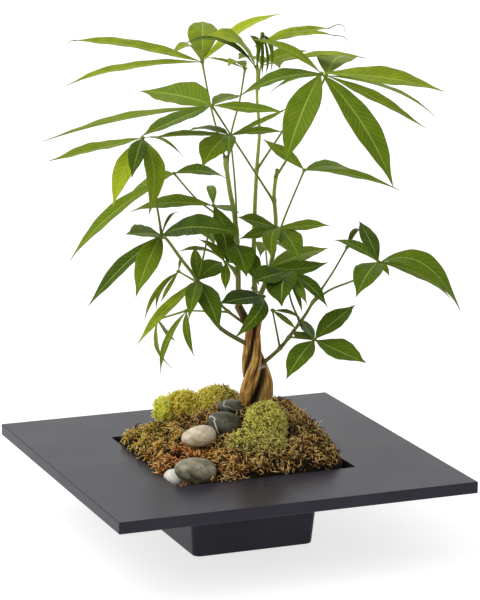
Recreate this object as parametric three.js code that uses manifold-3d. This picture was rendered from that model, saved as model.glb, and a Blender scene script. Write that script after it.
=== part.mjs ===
// A potted money tree: three young plants whose stems are twisted together into one trunk,
// growing through a bed of moss in a square dish planter with a wide flat rim and a small foot.
// Millimetres, +Z up, origin at the centre of the underside of the foot.
// X and Y run along the edges of the rim.
import * as THREE from "three";
import { mergeVertices } from "three/addons/utils/BufferGeometryUtils.js";
import Module from "manifold-3d";

const wasm = await Module();
wasm.setup();

// ---- Driving dimensions ----------------------------------------------------------------

const GAP = 0.3; // clearance between pieces that rest on each other
const RIM_WIDTH = 305; // the square rim, 12 inches
const RIM_THICK = 9.6;
const POT_HEIGHT = 70;
const RIM_BOTTOM = POT_HEIGHT - RIM_THICK;
const OPENING_HALF = 78; // the square opening in the rim
const OPENING_CORNER = 1.5;
const WALL = 4;
const FOOT_HALF = 52.5; // at the underside
const FOOT_DRAFT = 0.083; // how much each side of the foot widens per millimetre of height
const FOOT_CORNER = 6;
const FOOT_TOP = 31; // above this the walls spread outwards to meet the rim
const SOIL_TOP = RIM_BOTTOM - 4.4;

// The plant, moss and pebbles are measured on axes turned to face the front of the pot:
// across (to the right), away (to the back) and up from the top of the rim.
const FRONT_TURN = -22; // degrees about Z

const TRUNK_FOOT = [24.2, 25]; // the trunk's axis where it leaves the soil: across, away
const TRUNK_HEAD = [15, 14]; // and where its strands part
const STRAND_BOTTOM = -45;
const STRAND_TOP = 122;
const TWIST_PITCH = 130; // height of one full turn of the strands
const TWIST_FROM = 36; // height at which the strands stand at their start angles
const STRAND_START = { left: 180, middle: 60, right: -60 }; // degrees from across
const STRAND_SIDES = 7;
const STRAND_STEPS = 22;

const BLADE_THICK = 0.7;
const BLADE_FOLD = 0.2; // rise of each half of a blade over its width, radians
const BLADE_WAVE = 0.035; // ripple of the edges, as a share of the width
const HUB_RADIUS = 2.5; // the knob where the leaflets of one leaf meet
const BLADE_ROOT = 1.1; // how far from the middle of the knob a leaflet starts
const PETIOLE = { root: 1.05, tip: 0.8, sides: 4 };
const TWIG_SIDES = 6;

const COLOURS = {
  planter: 0x47464b,
  soil: 0x2a1d14,
  bark: 0x8a6334,
  leafLight: 0x7d9a35,
  leafMid: 0x5f8a30,
  leafDark: 0x43702f,
  mossBrown: 0x8a5a22,
  mossGreen: 0x8c9a2e,
  mossYellow: 0xa39a32,
  mossLime: 0xb4b83c,
};

// ---- Small helpers ---------------------------------------------------------------------

const degrees = THREE.MathUtils.degToRad;
const lerp = THREE.MathUtils.lerp;
const vector = (a) => new THREE.Vector3(a[0], a[1], a[2]);

// A seeded random source, so that the object is the same each time it is built.
function randomSource(seed) {
  let state = seed;
  return () => {
    state = (state * 1664525 + 1013904223) % 4294967296;
    return state / 4294967296;
  };
}

const random = randomSource(7);

// Straight-line look-up of a value in a list of [position, value] stops.
function between(stops, at) {
  if (at <= stops[0][0]) return stops[0][1];
  for (let i = 1; i < stops.length; i++) {
    const [from, low] = stops[i - 1];
    const [to, high] = stops[i];
    if (at <= to) return lerp(low, high, (at - from) / (to - from));
  }
  return stops[stops.length - 1][1];
}

// A closed three.js geometry as a solid that can be joined and cut.
function solid(geometry) {
  const bare = new THREE.BufferGeometry();
  bare.setAttribute("position", geometry.getAttribute("position"));
  if (geometry.index) bare.setIndex(geometry.index);
  const merged = mergeVertices(bare, 1e-4);
  return new wasm.Manifold(
    new wasm.Mesh({
      numProp: 3,
      vertProperties: new Float32Array(merged.attributes.position.array),
      triVerts: new Uint32Array(merged.index.array),
    }),
  );
}

// The body with the most volume, which drops any sliver that a cut leaves behind.
function mainBody(made) {
  return made.decompose().reduce((a, b) => (a.volume() > b.volume() ? a : b));
}

function join(solids) {
  return solids.reduce((a, b) => a.add(b));
}

function named(name, made, colour, roughness) {
  const data = made.getMesh();
  const geometry = new THREE.BufferGeometry();
  geometry.setAttribute("position", new THREE.BufferAttribute(data.vertProperties, 3));
  geometry.setIndex(new THREE.BufferAttribute(data.triVerts, 1));
  geometry.computeVertexNormals();
  const material = new THREE.MeshStandardMaterial({ color: colour, roughness, metalness: 0 });
  const mesh = new THREE.Mesh(geometry, material);
  mesh.name = name;
  return mesh;
}

// A closed skin over rings that all have the same number of points, counter-clockwise as seen
// from the last ring, with a flat cap at each end.
function skin(rings) {
  const count = rings[0].length;
  const positions = rings.flat().flatMap((p) => [p.x, p.y, p.z]);
  const index = [];
  for (let r = 0; r + 1 < rings.length; r++) {
    for (let i = 0; i < count; i++) {
      const a = r * count + i;
      const b = r * count + ((i + 1) % count);
      index.push(a, b, b + count, a, b + count, a + count);
    }
  }
  const last = (rings.length - 1) * count;
  for (let i = 1; i + 1 < count; i++) {
    index.push(0, i + 1, i);
    index.push(last, last + i, last + i + 1);
  }
  const geometry = new THREE.BufferGeometry();
  geometry.setAttribute("position", new THREE.Float32BufferAttribute(positions, 3));
  geometry.setIndex(index);
  return solid(geometry);
}

// A round tube along a curve, with its radius given as a function of the share of the way.
function tube(curve, radiusAt, sides, steps) {
  const frames = curve.computeFrenetFrames(steps, false);
  const rings = [];
  for (let s = 0; s <= steps; s++) {
    const centre = curve.getPointAt(s / steps);
    const radius = radiusAt(s / steps);
    const ring = [];
    for (let i = 0; i < sides; i++) {
      const angle = (2 * Math.PI * i) / sides;
      ring.push(
        centre
          .clone()
          .addScaledVector(frames.normals[s], radius * Math.cos(angle))
          .addScaledVector(frames.binormals[s], radius * Math.sin(angle)),
      );
    }
    rings.push(ring);
  }
  return skin(rings);
}

// ---- The planter, in one piece: rim, spreading walls and foot ---------------------------

const CORNER_STEPS = 4;

function roundedSquare(half, corner, z) {
  const ring = [];
  const centre = half - corner;
  for (let quarter = 0; quarter < 4; quarter++) {
    const middle = degrees(45 + 90 * quarter);
    const x = centre * Math.SQRT2 * Math.cos(middle);
    const y = centre * Math.SQRT2 * Math.sin(middle);
    for (let s = 0; s <= CORNER_STEPS; s++) {
      const angle = middle + degrees(90 * (s / CORNER_STEPS - 0.5));
      ring.push(new THREE.Vector3(x + corner * Math.cos(angle), y + corner * Math.sin(angle), z));
    }
  }
  return ring;
}

const footHalfAt = (z) => FOOT_HALF + FOOT_DRAFT * z;
const WELL_CORNER = FOOT_CORNER - WALL / 2;

// Half width of the well at a height, with a clearance taken off all round.
function wellHalfAt(z, clearance) {
  const stops = [
    [WALL, footHalfAt(WALL) - WALL],
    [FOOT_TOP, footHalfAt(FOOT_TOP) - WALL],
    [RIM_BOTTOM, OPENING_HALF],
  ];
  return between(stops, z) - clearance;
}

function makePlanter() {
  const rim = new THREE.BoxGeometry(RIM_WIDTH, RIM_WIDTH, RIM_THICK);
  rim.translate(0, 0, RIM_BOTTOM + RIM_THICK / 2);
  const spread = OPENING_HALF + 1.35 * WALL;
  const walls = skin([
    roundedSquare(footHalfAt(0), FOOT_CORNER, 0),
    roundedSquare(footHalfAt(FOOT_TOP), FOOT_CORNER, FOOT_TOP),
    roundedSquare(spread, FOOT_CORNER, RIM_BOTTOM),
    roundedSquare(spread, FOOT_CORNER, RIM_BOTTOM + RIM_THICK / 2),
  ]);
  const well = skin([
    roundedSquare(wellHalfAt(WALL, 0), WELL_CORNER, WALL),
    roundedSquare(wellHalfAt(FOOT_TOP, 0), WELL_CORNER, FOOT_TOP),
    roundedSquare(OPENING_HALF, OPENING_CORNER, RIM_BOTTOM),
    roundedSquare(OPENING_HALF, OPENING_CORNER, POT_HEIGHT + 1),
  ]);
  return solid(rim).add(walls).subtract(well);
}

// ---- The trunk: three strands twisted round one axis ------------------------------------

const STRAND_RADIUS = [
  [STRAND_BOTTOM, 4.2],
  [0, 6],
  [46, 6.4],
  [55, 6.1],
  [65, 5.2],
  [74, 4.3],
  [83, 3.5],
  [92, 3],
  [99, 2.7],
  [110, 2.9],
  [STRAND_TOP, 2.8],
];
// Distance of each strand's centre from the axis: just enough to lie side by side, and wider
// where the strands part at the head and where the roots spread.
const STRAND_OFFSET = [
  [STRAND_BOTTOM, 9.5],
  [0, 8.6],
  [46, 8.1],
  [55, 7.7],
  [65, 6.6],
  [74, 5.5],
  [83, 4.6],
  [92, 4],
  [99, 3.75],
  [110, 6.4],
  [STRAND_TOP, 10],
];

function strandPoint(start, z) {
  const share = THREE.MathUtils.clamp(z / STRAND_TOP, 0, 1);
  const angle = degrees(start + (360 * (z - TWIST_FROM)) / TWIST_PITCH);
  const offset = between(STRAND_OFFSET, z);
  return new THREE.Vector3(
    lerp(TRUNK_FOOT[0], TRUNK_HEAD[0], share) + offset * Math.cos(angle),
    lerp(TRUNK_FOOT[1], TRUNK_HEAD[1], share) + offset * Math.sin(angle),
    z,
  );
}

function strand(start, grow) {
  const points = [];
  for (let s = 0; s <= STRAND_STEPS; s++) {
    const z = lerp(STRAND_BOTTOM - grow, STRAND_TOP + grow, s / STRAND_STEPS);
    points.push(strandPoint(start, z));
  }
  const curve = new THREE.CatmullRomCurve3(points);
  const radiusAt = (share) => between(STRAND_RADIUS, curve.getPointAt(share).z) + grow;
  return tube(curve, radiusAt, STRAND_SIDES, STRAND_STEPS);
}

// ---- Soil, moss and pebbles -------------------------------------------------------------

// Moves a solid from the front-facing axes into the frame of the planter.
const toPlanter = (made) => made.rotate([0, 0, FRONT_TURN]).translate([0, 0, POT_HEIGHT]);

function makeSoil(strandHoles) {
  const clearance = 1.7 * GAP; // measured level, which leaves GAP square to the sloping walls
  const ring = (z) => roundedSquare(wellHalfAt(z, clearance), WELL_CORNER, z);
  const body = skin([ring(WALL + GAP), ring(FOOT_TOP), ring(SOIL_TOP)]);
  return body.subtract(toPlanter(strandHoles));
}

const MOSS = {
  sides: 28,
  rings: [1, 0.94, 0.8, 0.62, 0.42, 0.2],
  squareness: 6, // exponent of the outline: 2 is a circle, and a large one is a square
  edgeRise: 1.5,
  crown: [20, 26], // highest point of the mound: across, away
  crownRise: 33,
  spread: [80, 68, 76], // reach sideways, to the back and to the front
  hollow: { at: [-40, -80], depth: 11, reach: 17 }, // where the front pebbles lie
};

// Height of the moss over the rim at a point, with u the share of the way out to the edge.
function mossHeight(across, away, u) {
  const [crownAcross, crownAway] = MOSS.crown;
  const [side, back, front] = MOSS.spread;
  const depth = away > crownAway ? back : front;
  const far = ((across - crownAcross) / side) ** 2 + ((away - crownAway) / depth) ** 2;
  const lumps =
    1.8 * Math.sin(across / 4.6 + 1) * Math.sin(away / 5.3) +
    1.2 * Math.sin(across / 2.9 + away / 7);
  const { at, depth: drop, reach } = MOSS.hollow;
  const near = ((across - at[0]) / reach) ** 2 + ((away - at[1]) / reach) ** 2;
  const mound = MOSS.crownRise * Math.exp(-far) + lumps;
  return MOSS.edgeRise + mound * (1 - u ** 12) - drop * Math.exp(-near);
}

function mossRing(half, u, heightAt) {
  const ring = [];
  for (let i = 0; i < MOSS.sides; i++) {
    const angle = (2 * Math.PI * i) / MOSS.sides;
    const c = Math.cos(angle);
    const s = Math.sin(angle);
    const n = MOSS.squareness;
    const reach = (u * half) / (Math.abs(c) ** n + Math.abs(s) ** n) ** (1 / n);
    ring.push(new THREE.Vector3(reach * c, reach * s, heightAt(reach * c, reach * s)));
  }
  return ring;
}

function makeMossBed(cuts) {
  const turn = degrees(-FRONT_TURN);
  const top = (u) => (x, y) => {
    const across = x * Math.cos(turn) - y * Math.sin(turn);
    const away = x * Math.sin(turn) + y * Math.cos(turn);
    return POT_HEIGHT + mossHeight(across, away, u);
  };
  const under = SOIL_TOP + GAP;
  const clear = 2 * GAP;
  const body = skin([
    mossRing(wellHalfAt(under, clear), 1, () => under),
    mossRing(OPENING_HALF - clear, 1, () => RIM_BOTTOM),
    ...MOSS.rings.map((u) => mossRing(OPENING_HALF - clear, u, top(u))),
  ]);
  return mainBody(body.subtract(toPlanter(cuts)));
}

// Cushions of moss on the bed: centre and half sizes of each lobe, across, away and up.
const CUSHIONS = {
  moss_mound_green: {
    colour: COLOURS.mossGreen,
    lobes: [
      { at: [28, -19, 25], size: [17, 16, 22] },
      { at: [29, -38, 15], size: [16, 12, 12] },
      { at: [11, -37, 16], size: [14, 13, 12] },
    ],
  },
  moss_clump_yellow: {
    colour: COLOURS.mossYellow,
    lobes: [
      { at: [-12, 47, 26], size: [20, 17, 17] },
      { at: [-40, 44, 25], size: [19, 15, 14] },
    ],
  },
  moss_tuft_lime: {
    colour: COLOURS.mossLime,
    lobes: [{ at: [-57, 38, 26], size: [9, 9, 10] }],
  },
};
const LUMP_DEPTH = 0.09; // relief of a cushion, as a share of its size
const LUMP_COUNT = 6;

function cushion(lobes, grow) {
  return join(
    lobes.map(({ at, size }) => {
      const ball = new THREE.IcosahedronGeometry(1, 2);
      const places = ball.getAttribute("position");
      const p = new THREE.Vector3();
      for (let i = 0; i < places.count; i++) {
        p.fromBufferAttribute(places, i);
        const lump =
          Math.sin(LUMP_COUNT * p.x + at[0]) *
          Math.sin(LUMP_COUNT * p.y + at[1]) *
          Math.sin(LUMP_COUNT * p.z);
        const scale = 1 + LUMP_DEPTH * lump;
        places.setXYZ(
          i,
          at[0] + p.x * (scale * size[0] + grow),
          at[1] + p.y * (scale * size[1] + grow),
          at[2] + p.z * (scale * size[2] + grow),
        );
      }
      return solid(ball);
    }),
  );
}

// River pebbles: centre, half sizes (long, broad, thick), and turns in degrees about up and
// about the long axis's level cross direction.
const PEBBLES = {
  pebble_dark_front: { at: [-28.5, -80, 7], size: [17.5, 13.5, 10.5], turn: 6, tip: 4, colour: 0x4a4d44 },
  pebble_white_front: { at: [-45, -67, -3.5], size: [11, 9.5, 7.3], turn: -60, tip: 10, colour: 0xcfcabd },
  pebble_pale: { at: [-27, -36, 23], size: [14.5, 11, 8.5], turn: 5, tip: -10, colour: 0xbdb6a6 },
  pebble_dark_middle: { at: [-5, -13, 27], size: [15, 12, 11], turn: -20, tip: 12, colour: 0x4b4c48 },
  pebble_dark_back: { at: [-1, 13, 35], size: [11, 9.5, 6], turn: 15, tip: 5, colour: 0x53544f },
};
const PEBBLE_TAPER = 0.1; // one end of a pebble is a little fuller than the other

function pebble({ at, size, turn, tip }, grow) {
  const ball = new THREE.SphereGeometry(1, 10, 7);
  const places = ball.getAttribute("position");
  for (let i = 0; i < places.count; i++) {
    const full = 1 + PEBBLE_TAPER * places.getX(i);
    places.setXYZ(
      i,
      places.getX(i) * (size[0] + grow),
      places.getY(i) * (size[1] * full + grow),
      places.getZ(i) * (size[2] * full + grow),
    );
  }
  ball.rotateY(degrees(tip));
  ball.rotateZ(degrees(turn));
  ball.translate(...at);
  return solid(ball);
}

// ---- Leaves -----------------------------------------------------------------------------

// The half outline of a leaflet: a narrow foot, fullest near the middle, and a drawn-out tip.
const bladeShape = (t) => Math.sin(Math.PI * t ** 0.9) ** 1.1;

// Where a leaflet is measured across, as shares of its length: a longer one has more places.
const BLADE_STATIONS = [
  [32, [0, 0.45, 1]],
  [54, [0, 0.28, 0.64, 1]],
  [100, [0, 0.2, 0.45, 0.75, 1]],
  [Infinity, [0, 0.14, 0.34, 0.58, 0.82, 1]],
];

// One leaflet, from the hub of its leaf to its tip. It is a thin arched sheet, folded a little
// along its midrib and rippled at its edges. The two faces have the same triangles.
function blade(centre, tip, { width, face, arch, peak }) {
  const hub = centre.clone().lerp(tip, BLADE_ROOT / centre.distanceTo(tip));
  const length = hub.distanceTo(tip);
  const stations = BLADE_STATIONS.find(([limit]) => length <= limit)[1];
  const along = tip.clone().sub(hub).normalize();
  const side = new THREE.Vector3().crossVectors(face, along).normalize();
  const lift = new THREE.Vector3().crossVectors(along, side);
  const crest = hub.clone().lerp(tip, peak).addScaledVector(lift, 2 * arch * length);
  const midrib = new THREE.QuadraticBezierCurve3(hub, crest, tip);
  const phase = [random(), random()].map((r) => 2 * Math.PI * r);
  const upper = [];
  const lower = [];
  for (const t of stations) {
    const spine = midrib.getPoint(t);
    const normal = new THREE.Vector3().crossVectors(midrib.getTangent(t), side).normalize();
    const half = Math.max(0.5, (width / 2) * bladeShape(Math.min(t, 0.999)));
    for (const s of [-1, 0, 1]) {
      const ripple = BLADE_WAVE * width * Math.sin(9 * t + phase[s > 0 ? 1 : 0]) * bladeShape(t);
      const rise = s === 0 ? 0 : half * BLADE_FOLD + ripple;
      const top = spine
        .clone()
        .addScaledVector(side, s * half)
        .addScaledVector(normal, rise + BLADE_THICK / 2);
      upper.push(top);
      lower.push(top.clone().addScaledVector(normal, -BLADE_THICK));
    }
  }
  return sheet(upper, lower, stations.length);
}

// A thin closed body between two faces of rows of three points.
function sheet(upper, lower, rows) {
  const index = [];
  const under = upper.length;
  const quad = (a, b, c, d) => index.push(a, b, c, a, c, d);
  for (let r = 0; r + 1 < rows; r++) {
    const a = 3 * r;
    const b = a + 3;
    for (const s of [0, 1]) {
      quad(a + s, b + s, b + s + 1, a + s + 1);
      index.push(under + a + s, under + b + s + 1, under + b + s);
      index.push(under + a + s, under + a + s + 1, under + b + s + 1);
    }
    quad(a, under + a, under + b, b);
    quad(a + 2, b + 2, under + b + 2, under + a + 2);
  }
  const end = 3 * (rows - 1);
  for (const s of [0, 1]) {
    quad(s, s + 1, under + s + 1, under + s);
    quad(end + s + 1, end + s, under + end + s, under + end + s + 1);
  }
  const positions = [...upper, ...lower].flatMap((p) => [p.x, p.y, p.z]);
  const geometry = new THREE.BufferGeometry();
  geometry.setAttribute("position", new THREE.Float32BufferAttribute(positions, 3));
  geometry.setIndex(index);
  return solid(geometry);
}

function twig(points, from, to, sides) {
  const steps = points.length === 2 ? 1 : 2 * (points.length - 1);
  const curve = new THREE.CatmullRomCurve3(points.map(vector));
  return tube(curve, (share) => lerp(from, to, share), sides, steps);
}

const FACE_LEAN = [0, -0.35]; // leaves turn their upper face up and a little to the front
const ARCH = 0.1; // rise of a leaflet's midrib at its middle, as a share of its length
const PEAK = 0.5; // where along a leaflet its midrib bends most, as a share of its length

// A leaf: the petiole, the knob at its end and the leaflets, each [across, away, up, width]
// for its tip. The arch of its midrib, its own lean and its peak come after that, where they
// aren't the usual ones.
function leaf({ petiole, hub, lean = FACE_LEAN, blades }) {
  const centre = vector(hub);
  const knob = new THREE.OctahedronGeometry(HUB_RADIUS);
  knob.translate(...hub);
  const solids = [solid(knob)];
  if (petiole.length) {
    solids.push(twig([...petiole, hub], PETIOLE.root, PETIOLE.tip, PETIOLE.sides));
  }
  for (const [across, away, up, width, arch = ARCH, own = lean, peak = PEAK] of blades) {
    const tip = new THREE.Vector3(across, away, up);
    const face = new THREE.Vector3(own[0], own[1], 1).normalize();
    solids.push(blade(centre, tip, { width, face, arch, peak }));
  }
  return join(solids);
}

// Each leafy stem: the strand that carries it, its own twigs and its leaves. A strand is named
// by where it leaves the soil, and the twist of the trunk brings it out on another side.
// Places are across, away and up, and a twig ends with its radius at its root and at its tip.
const SHOOTS = {
  shoot_left: {
    colour: COLOURS.leafMid,
    strand: "right",
    stem: [[5, 16, 151], [4, 14, 173], [2, 10, 198], [-2, 6, 220], [-6, 1, 249]],
    radii: [2.3, 1.8],
    leaves: [
      {
        petiole: [[-4, 3, 240], [-13, 10, 270], [-18, 18, 288]],
        hub: [-25, 28, 322],
        blades: [
          [-131, 50, 336, 22, 0.035, [0, -0.22], 0.65],
          [-135, 5, 305, 22, 0.055, [0, -0.1], 0.6],
          [40, 66, 357, 15, 0.09, [0, -0.2], 0.55],
          [-26, 95, 347, 25],
          [-50, -25, 333, 12, 0.2],
        ],
      },
      {
        petiole: [[-4, 3, 242], [-1, 4, 267], [6, 5, 295]],
        hub: [10, 4, 320],
        blades: [
          [-4, -44, 328, 13],
          [-21, -20, 332, 9, 0.03],
        ],
      },
      {
        petiole: [[4, 14, 176], [3, -5, 215], [0, -40, 258]],
        hub: [-2, -62, 276],
        blades: [
          [-65, -64, 274, 18, 0.02, [0, -0.1]],
          [-36, -24, 273, 16, 0.08, [0, -0.05]],
          [-23, -100, 257, 25],
          [-2, -112, 267, 11],
          [42, -56, 278, 16, 0.03, [0, -0.2]],
          [46, -26, 294, 9, -0.03, [0, -0.1]],
        ],
      },
      {
        petiole: [[3, 13, 182], [-14, 18, 198], [-29, 22, 209]],
        hub: [-48, 26, 230],
        blades: [
          [-134, 20, 157, 18, 0.07, [0, -0.35], 0.58],
          [-92, 72, 199, 16, 0.04, [0, -0.8], 0.3],
          [-5, 65, 219, 16, 0.08, [0, -0.6]],
        ],
      },
      {
        petiole: [[3, 12, 185]],
        hub: [-15, -15, 211],
        blades: [
          [-84, 6, 201, 18, 0.08, [0, -0.45]],
          [-20, 35, 218, 8],
          [6, -58, 213, 12, 0.02],
          [4, -42, 190, 14, -0.12],
          [-3, 5, 157, 17, 0.1, [-0.1, -0.7], 0.4],
        ],
      },
      {
        petiole: [[4, 15, 158]],
        hub: [-5, -15, 164],
        blades: [
          [-43, -50, 180, 10, 0.12],
          [-27, -10, 182, 9, 0.12],
          [-5, -35, 145, 8, 0.05, [0, -0.8]],
          [3, 20, 144, 8, 0.05, [0, -0.8]],
        ],
      },
      {
        petiole: [[4, 14, 176]],
        hub: [2, -8, 178],
        blades: [
          [12, -42, 158, 24, 0.1, [0.2, -0.9]],
          [22, -38, 150, 20, 0.1, [0.5, -0.9]],
        ],
      },
      {
        petiole: [[4, 15, 165]],
        hub: [-20, 72, 176],
        lean: [-0.1, 0.35],
        blades: [
          [-60, 108, 160, 18, 0],
          [-16, 126, 150, 24],
        ],
      },
    ],
  },
  shoot_middle: {
    colour: COLOURS.leafLight,
    strand: "middle",
    stem: [
      [18, 12, 169],
      [18.5, 18, 197],
      [20, 22, 234],
      [22, 26, 266],
      [20, 28, 291],
      [20, 30, 316],
    ],
    radii: [2.2, 1],
    leaves: [
      {
        petiole: [],
        hub: [19, 29, 318],
        blades: [
          [-22, 8, 346, 31, 0.17],
          [107, -15, 331, 18, 0.055, [0, -0.1], 0.65],
          [-45, 35, 333, 10, 0.25],
        ],
      },
      {
        petiole: [[20, 30, 316]],
        hub: [20, 30, 335],
        blades: [
          [80, 57, 346, 16, 0.06, [0, -0.35], 0.6],
          [83, 27, 344, 14, 0.08, [0, -0.2], 0.6],
          [14, 8, 346, 7],
        ],
      },
      {
        petiole: [[20, 30, 334]],
        hub: [24, 30, 345],
        blades: [
          [21, 22, 323, 4],
          [24, 30, 310, 4],
          [27, 38, 310, 4],
          [31, 46, 311, 4],
          [33, 50, 321, 4],
        ],
      },
      {
        petiole: [[20, 22, 234]],
        hub: [70, -50, 324],
        blades: [
          [41, -95, 258, 26],
          [126, -90, 240, 24, 0.1, [-0.1, -0.35], 0.55],
          [167, -60, 311, 26, 0.045, [0, -0.35], 0.55],
          [5, -58, 306, 22, 0.09, [0, -0.24]],
          [14, -28, 348, 12, 0.1],
        ],
      },
      {
        petiole: [[17, 7, 138]],
        hub: [26, -25, 138],
        blades: [
          [-10, -70, 142, 20, 0.03, [0, -0.9]],
          [2, -55, 110, 14, 0.3, [1, -0.35], 0.45],
        ],
      },
      {
        petiole: [[21, 29, 300], [22, 50, 310]],
        hub: [24, 80, 314],
        lean: [0.1, 0.3],
        blades: [
          [63, 100, 322, 18, 0.05, [0, -0.35]],
          [40, 136, 302, 24],
          [4, 118, 312, 18],
        ],
      },
    ],
  },
  shoot_right: {
    colour: COLOURS.leafMid,
    strand: "left",
    stem: [[31.5, 26, 150], [36, 32, 186], [34.5, 36, 210], [35.5, 38, 222], [37, 40, 232]],
    radii: [2.3, 1.4],
    leaves: [
      {
        petiole: [[34, 34, 206]],
        hub: [-16, -70, 301],
        blades: [
          [-75, -8, 303, 31, 0.03, [0, -0.7], 0.3],
          [-147, -90, 275, 24, 0.03, [0, 0.02], 0.6],
          [-69, -130, 286, 20, 0.01, [0, -0.25], 0.55],
          [7, -10, 300, 16, 0.03],
          [41, -84, 298, 17, 0, [0, -0.35]],
        ],
      },
      {
        petiole: [[35.5, 38, 225], [43, 33, 238]],
        hub: [75, -12, 317],
        blades: [
          [166, 22, 278, 18, 0.08, [0, -0.12], 0.6],
          [155, -22, 276, 18, 0.02, [0, -0.25]],
          [30, 12, 299, 12],
          [94, 65, 319, 32],
        ],
      },
      {
        petiole: [[34.5, 29, 166], [43, 42, 189]],
        hub: [60, 62, 227],
        blades: [
          [140, 50, 212, 17, 0.055, [0, -0.15]],
          [104, 105, 219, 20, 0.06],
          [25, 95, 248, 14, 0],
        ],
      },
      {
        petiole: [[34.5, 29, 168]],
        hub: [37, -5, 191],
        blades: [
          [79, -30, 198, 14, 0, [0, -0.6]],
          [4, -22, 203, 16, 0, [0, -0.7]],
          [6, -7, 182, 13, 0, [0, -0.6]],
          [55, -50, 172, 20],
          [32, -50, 174, 16, 0.15, [-0.5, -0.8]],
        ],
      },
      {
        petiole: [[31, 26, 148]],
        hub: [31, 8, 155],
        blades: [
          [81, 60, 161, 22, 0.03],
          [79, 6, 160, 17, -0.1, [0, -0.7]],
        ],
      },
      {
        petiole: [[30, 25, 142]],
        hub: [28, 82, 160],
        lean: [0.1, 0.35],
        blades: [
          [50, 120, 144, 20],
          [24, 130, 138, 12],
        ],
      },
    ],
  },
  branch_low_left: {
    colour: COLOURS.leafDark,
    stem: [
      [13, 14, 88.5],
      [-10, 2, 106],
      [-22, -6, 126],
      [-28, -10, 147],
      [-42, -16, 168],
      [-52, -20, 183],
      [-57, -23, 189],
    ],
    radii: [1.9, 1.2],
    twigs: [
      { points: [[11.5, 18.5, 104.5], [-8, 6, 123], [-18, -4, 139], [-28, -11, 148]], radii: [1.3, 0.9] },
    ],
    leaves: [
      {
        petiole: [],
        hub: [-57, -23, 188],
        blades: [
          [-84, -70, 198, 24, 0.02, [0, -0.8], 0.3],
          [-116, -40, 132, 17, 0.055],
          [-76, -70, 147, 20],
          [6, -75, 200, 24, 0.1, [0, -0.9], 0.45],
          [-44, 5, 201, 3, 0.2],
        ],
      },
      {
        petiole: [[-57, -22, 189], [-60, -24, 209], [-64, -24, 229]],
        hub: [-72, -20, 267],
        blades: [
          [-147, -40, 251, 23, 0, [0, -0.13]],
          [-95, -45, 215, 17],
          [-79, -64, 242, 15],
          [-66, -58, 211, 19, 0.2, [0.6, -0.5]],
          [-38, -55, 257, 4, 0.15],
        ],
      },
      {
        petiole: [[-27, -11, 150]],
        hub: [-19, -20, 189],
        blades: [
          [-38, -6, 183, 12],
        ],
      },
      {
        petiole: [],
        hub: [-28, -11, 148],
        blades: [
          [-76, -60, 105, 11, 0.04],
          [-9, -60, 117, 19],
          [-34, -70, 129, 14],
          [-31, 20, 170, 10, 0.03, [0, -0.8]],
          [-8, 14, 158, 20, 0.1, [0, -0.9]],
        ],
      },
      {
        petiole: [[-29, -11, 147]],
        hub: [-44, 10, 151],
        blades: [
          [-63, 20, 116, 7],
          [-72, 0, 112, 7],
          [-60, 40, 118, 6, -0.02],
          [-41, 30, 159, 4],
        ],
      },
      {
        petiole: [[-3, 10, 117]],
        hub: [-38, 45, 110],
        blades: [
          [-31, 20, 76, 7, 0.15, [-0.6, -0.8]],
          [-60, 50, 53, 8, 0.12, [-0.5, -0.8]],
        ],
      },
      {
        petiole: [[-38, 45, 110]],
        hub: [-63, 58, 99],
        blades: [
          [-50, 70, 53, 11, 0.14, [-0.8, -0.5]],
          [-48, 80, 75, 9, -0.05, [0, -0.8]],
        ],
      },
    ],
  },
  branch_low_right: {
    colour: COLOURS.leafDark,
    stem: [
      [22.5, 21.5, 67.5],
      [40, 8, 87],
      [51, -2, 104],
      [60, -10, 119],
      [66, -15, 131],
      [72, -18, 142],
    ],
    radii: [1.8, 1.1],
    leaves: [
      {
        petiole: [[56, -6, 112], [48, -22, 135]],
        hub: [44, -35, 161],
        blades: [
          [77, -60, 137, 14, 0.12],
          [60, -85, 145, 10, 0.04],
          [57, -50, 129, 5],
          [40, -80, 142, 27, 0.1, [-0.4, -0.5]],
          [16, -70, 160, 22, 0, [0, -0.8]],
        ],
      },
      {
        petiole: [[47, 2, 98]],
        hub: [67, -45, 107],
        blades: [
          [101, -10, 128, 20, 0.02],
          [108, -70, 94, 26, -0.01],
          [44, -80, 83, 20, 0.06],
          [49, -15, 108, 12, -0.05],
          [57, 10, 112, 10, 0],
        ],
      },
      {
        petiole: [[66, -15, 131], [80, -17, 142], [102, -19, 152]],
        hub: [119, -20, 166],
        blades: [
          [105, 30, 190, 14, 0.05],
          [83, 10, 178, 12],
          [99, -70, 148, 23],
          [186, -30, 127, 22, 0.32, [0, -0.6], 0.28],
          [180, 0, 131, 16, 0.1, [0, -0.5]],
          [127, -38, 158, 6],
        ],
      },
      {
        petiole: [[72, -18, 141], [84, 5, 154]],
        hub: [95, 20, 170],
        blades: [
          [107, 50, 179, 8],
        ],
      },
      {
        petiole: [[40, 8, 87]],
        hub: [33, -44, 131],
        blades: [
          [57, -46, 124, 6],
          [52, -74, 122, 6, 0.02],
        ],
      },
    ],
  },
};

function makeShoot({ strand: grownFrom, stem, radii, twigs = [], leaves }, strandsGrown) {
  // A shoot on top of the trunk starts inside the end of its strand and is cut back from it.
  const start = grownFrom
    ? [strandPoint(STRAND_START[grownFrom], STRAND_TOP - 1).toArray()]
    : [];
  const solids = [
    twig([...start, ...stem], radii[0], radii[1], TWIG_SIDES),
    ...twigs.map((t) => twig(t.points, t.radii[0], t.radii[1], TWIG_SIDES)),
    ...leaves.map(leaf),
  ];
  return mainBody(join(solids).subtract(strandsGrown));
}

// ---- The whole object -------------------------------------------------------------------

const starts = Object.entries(STRAND_START);
const strandsGrown = join(starts.map(([, start]) => strand(start, GAP)));

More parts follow.
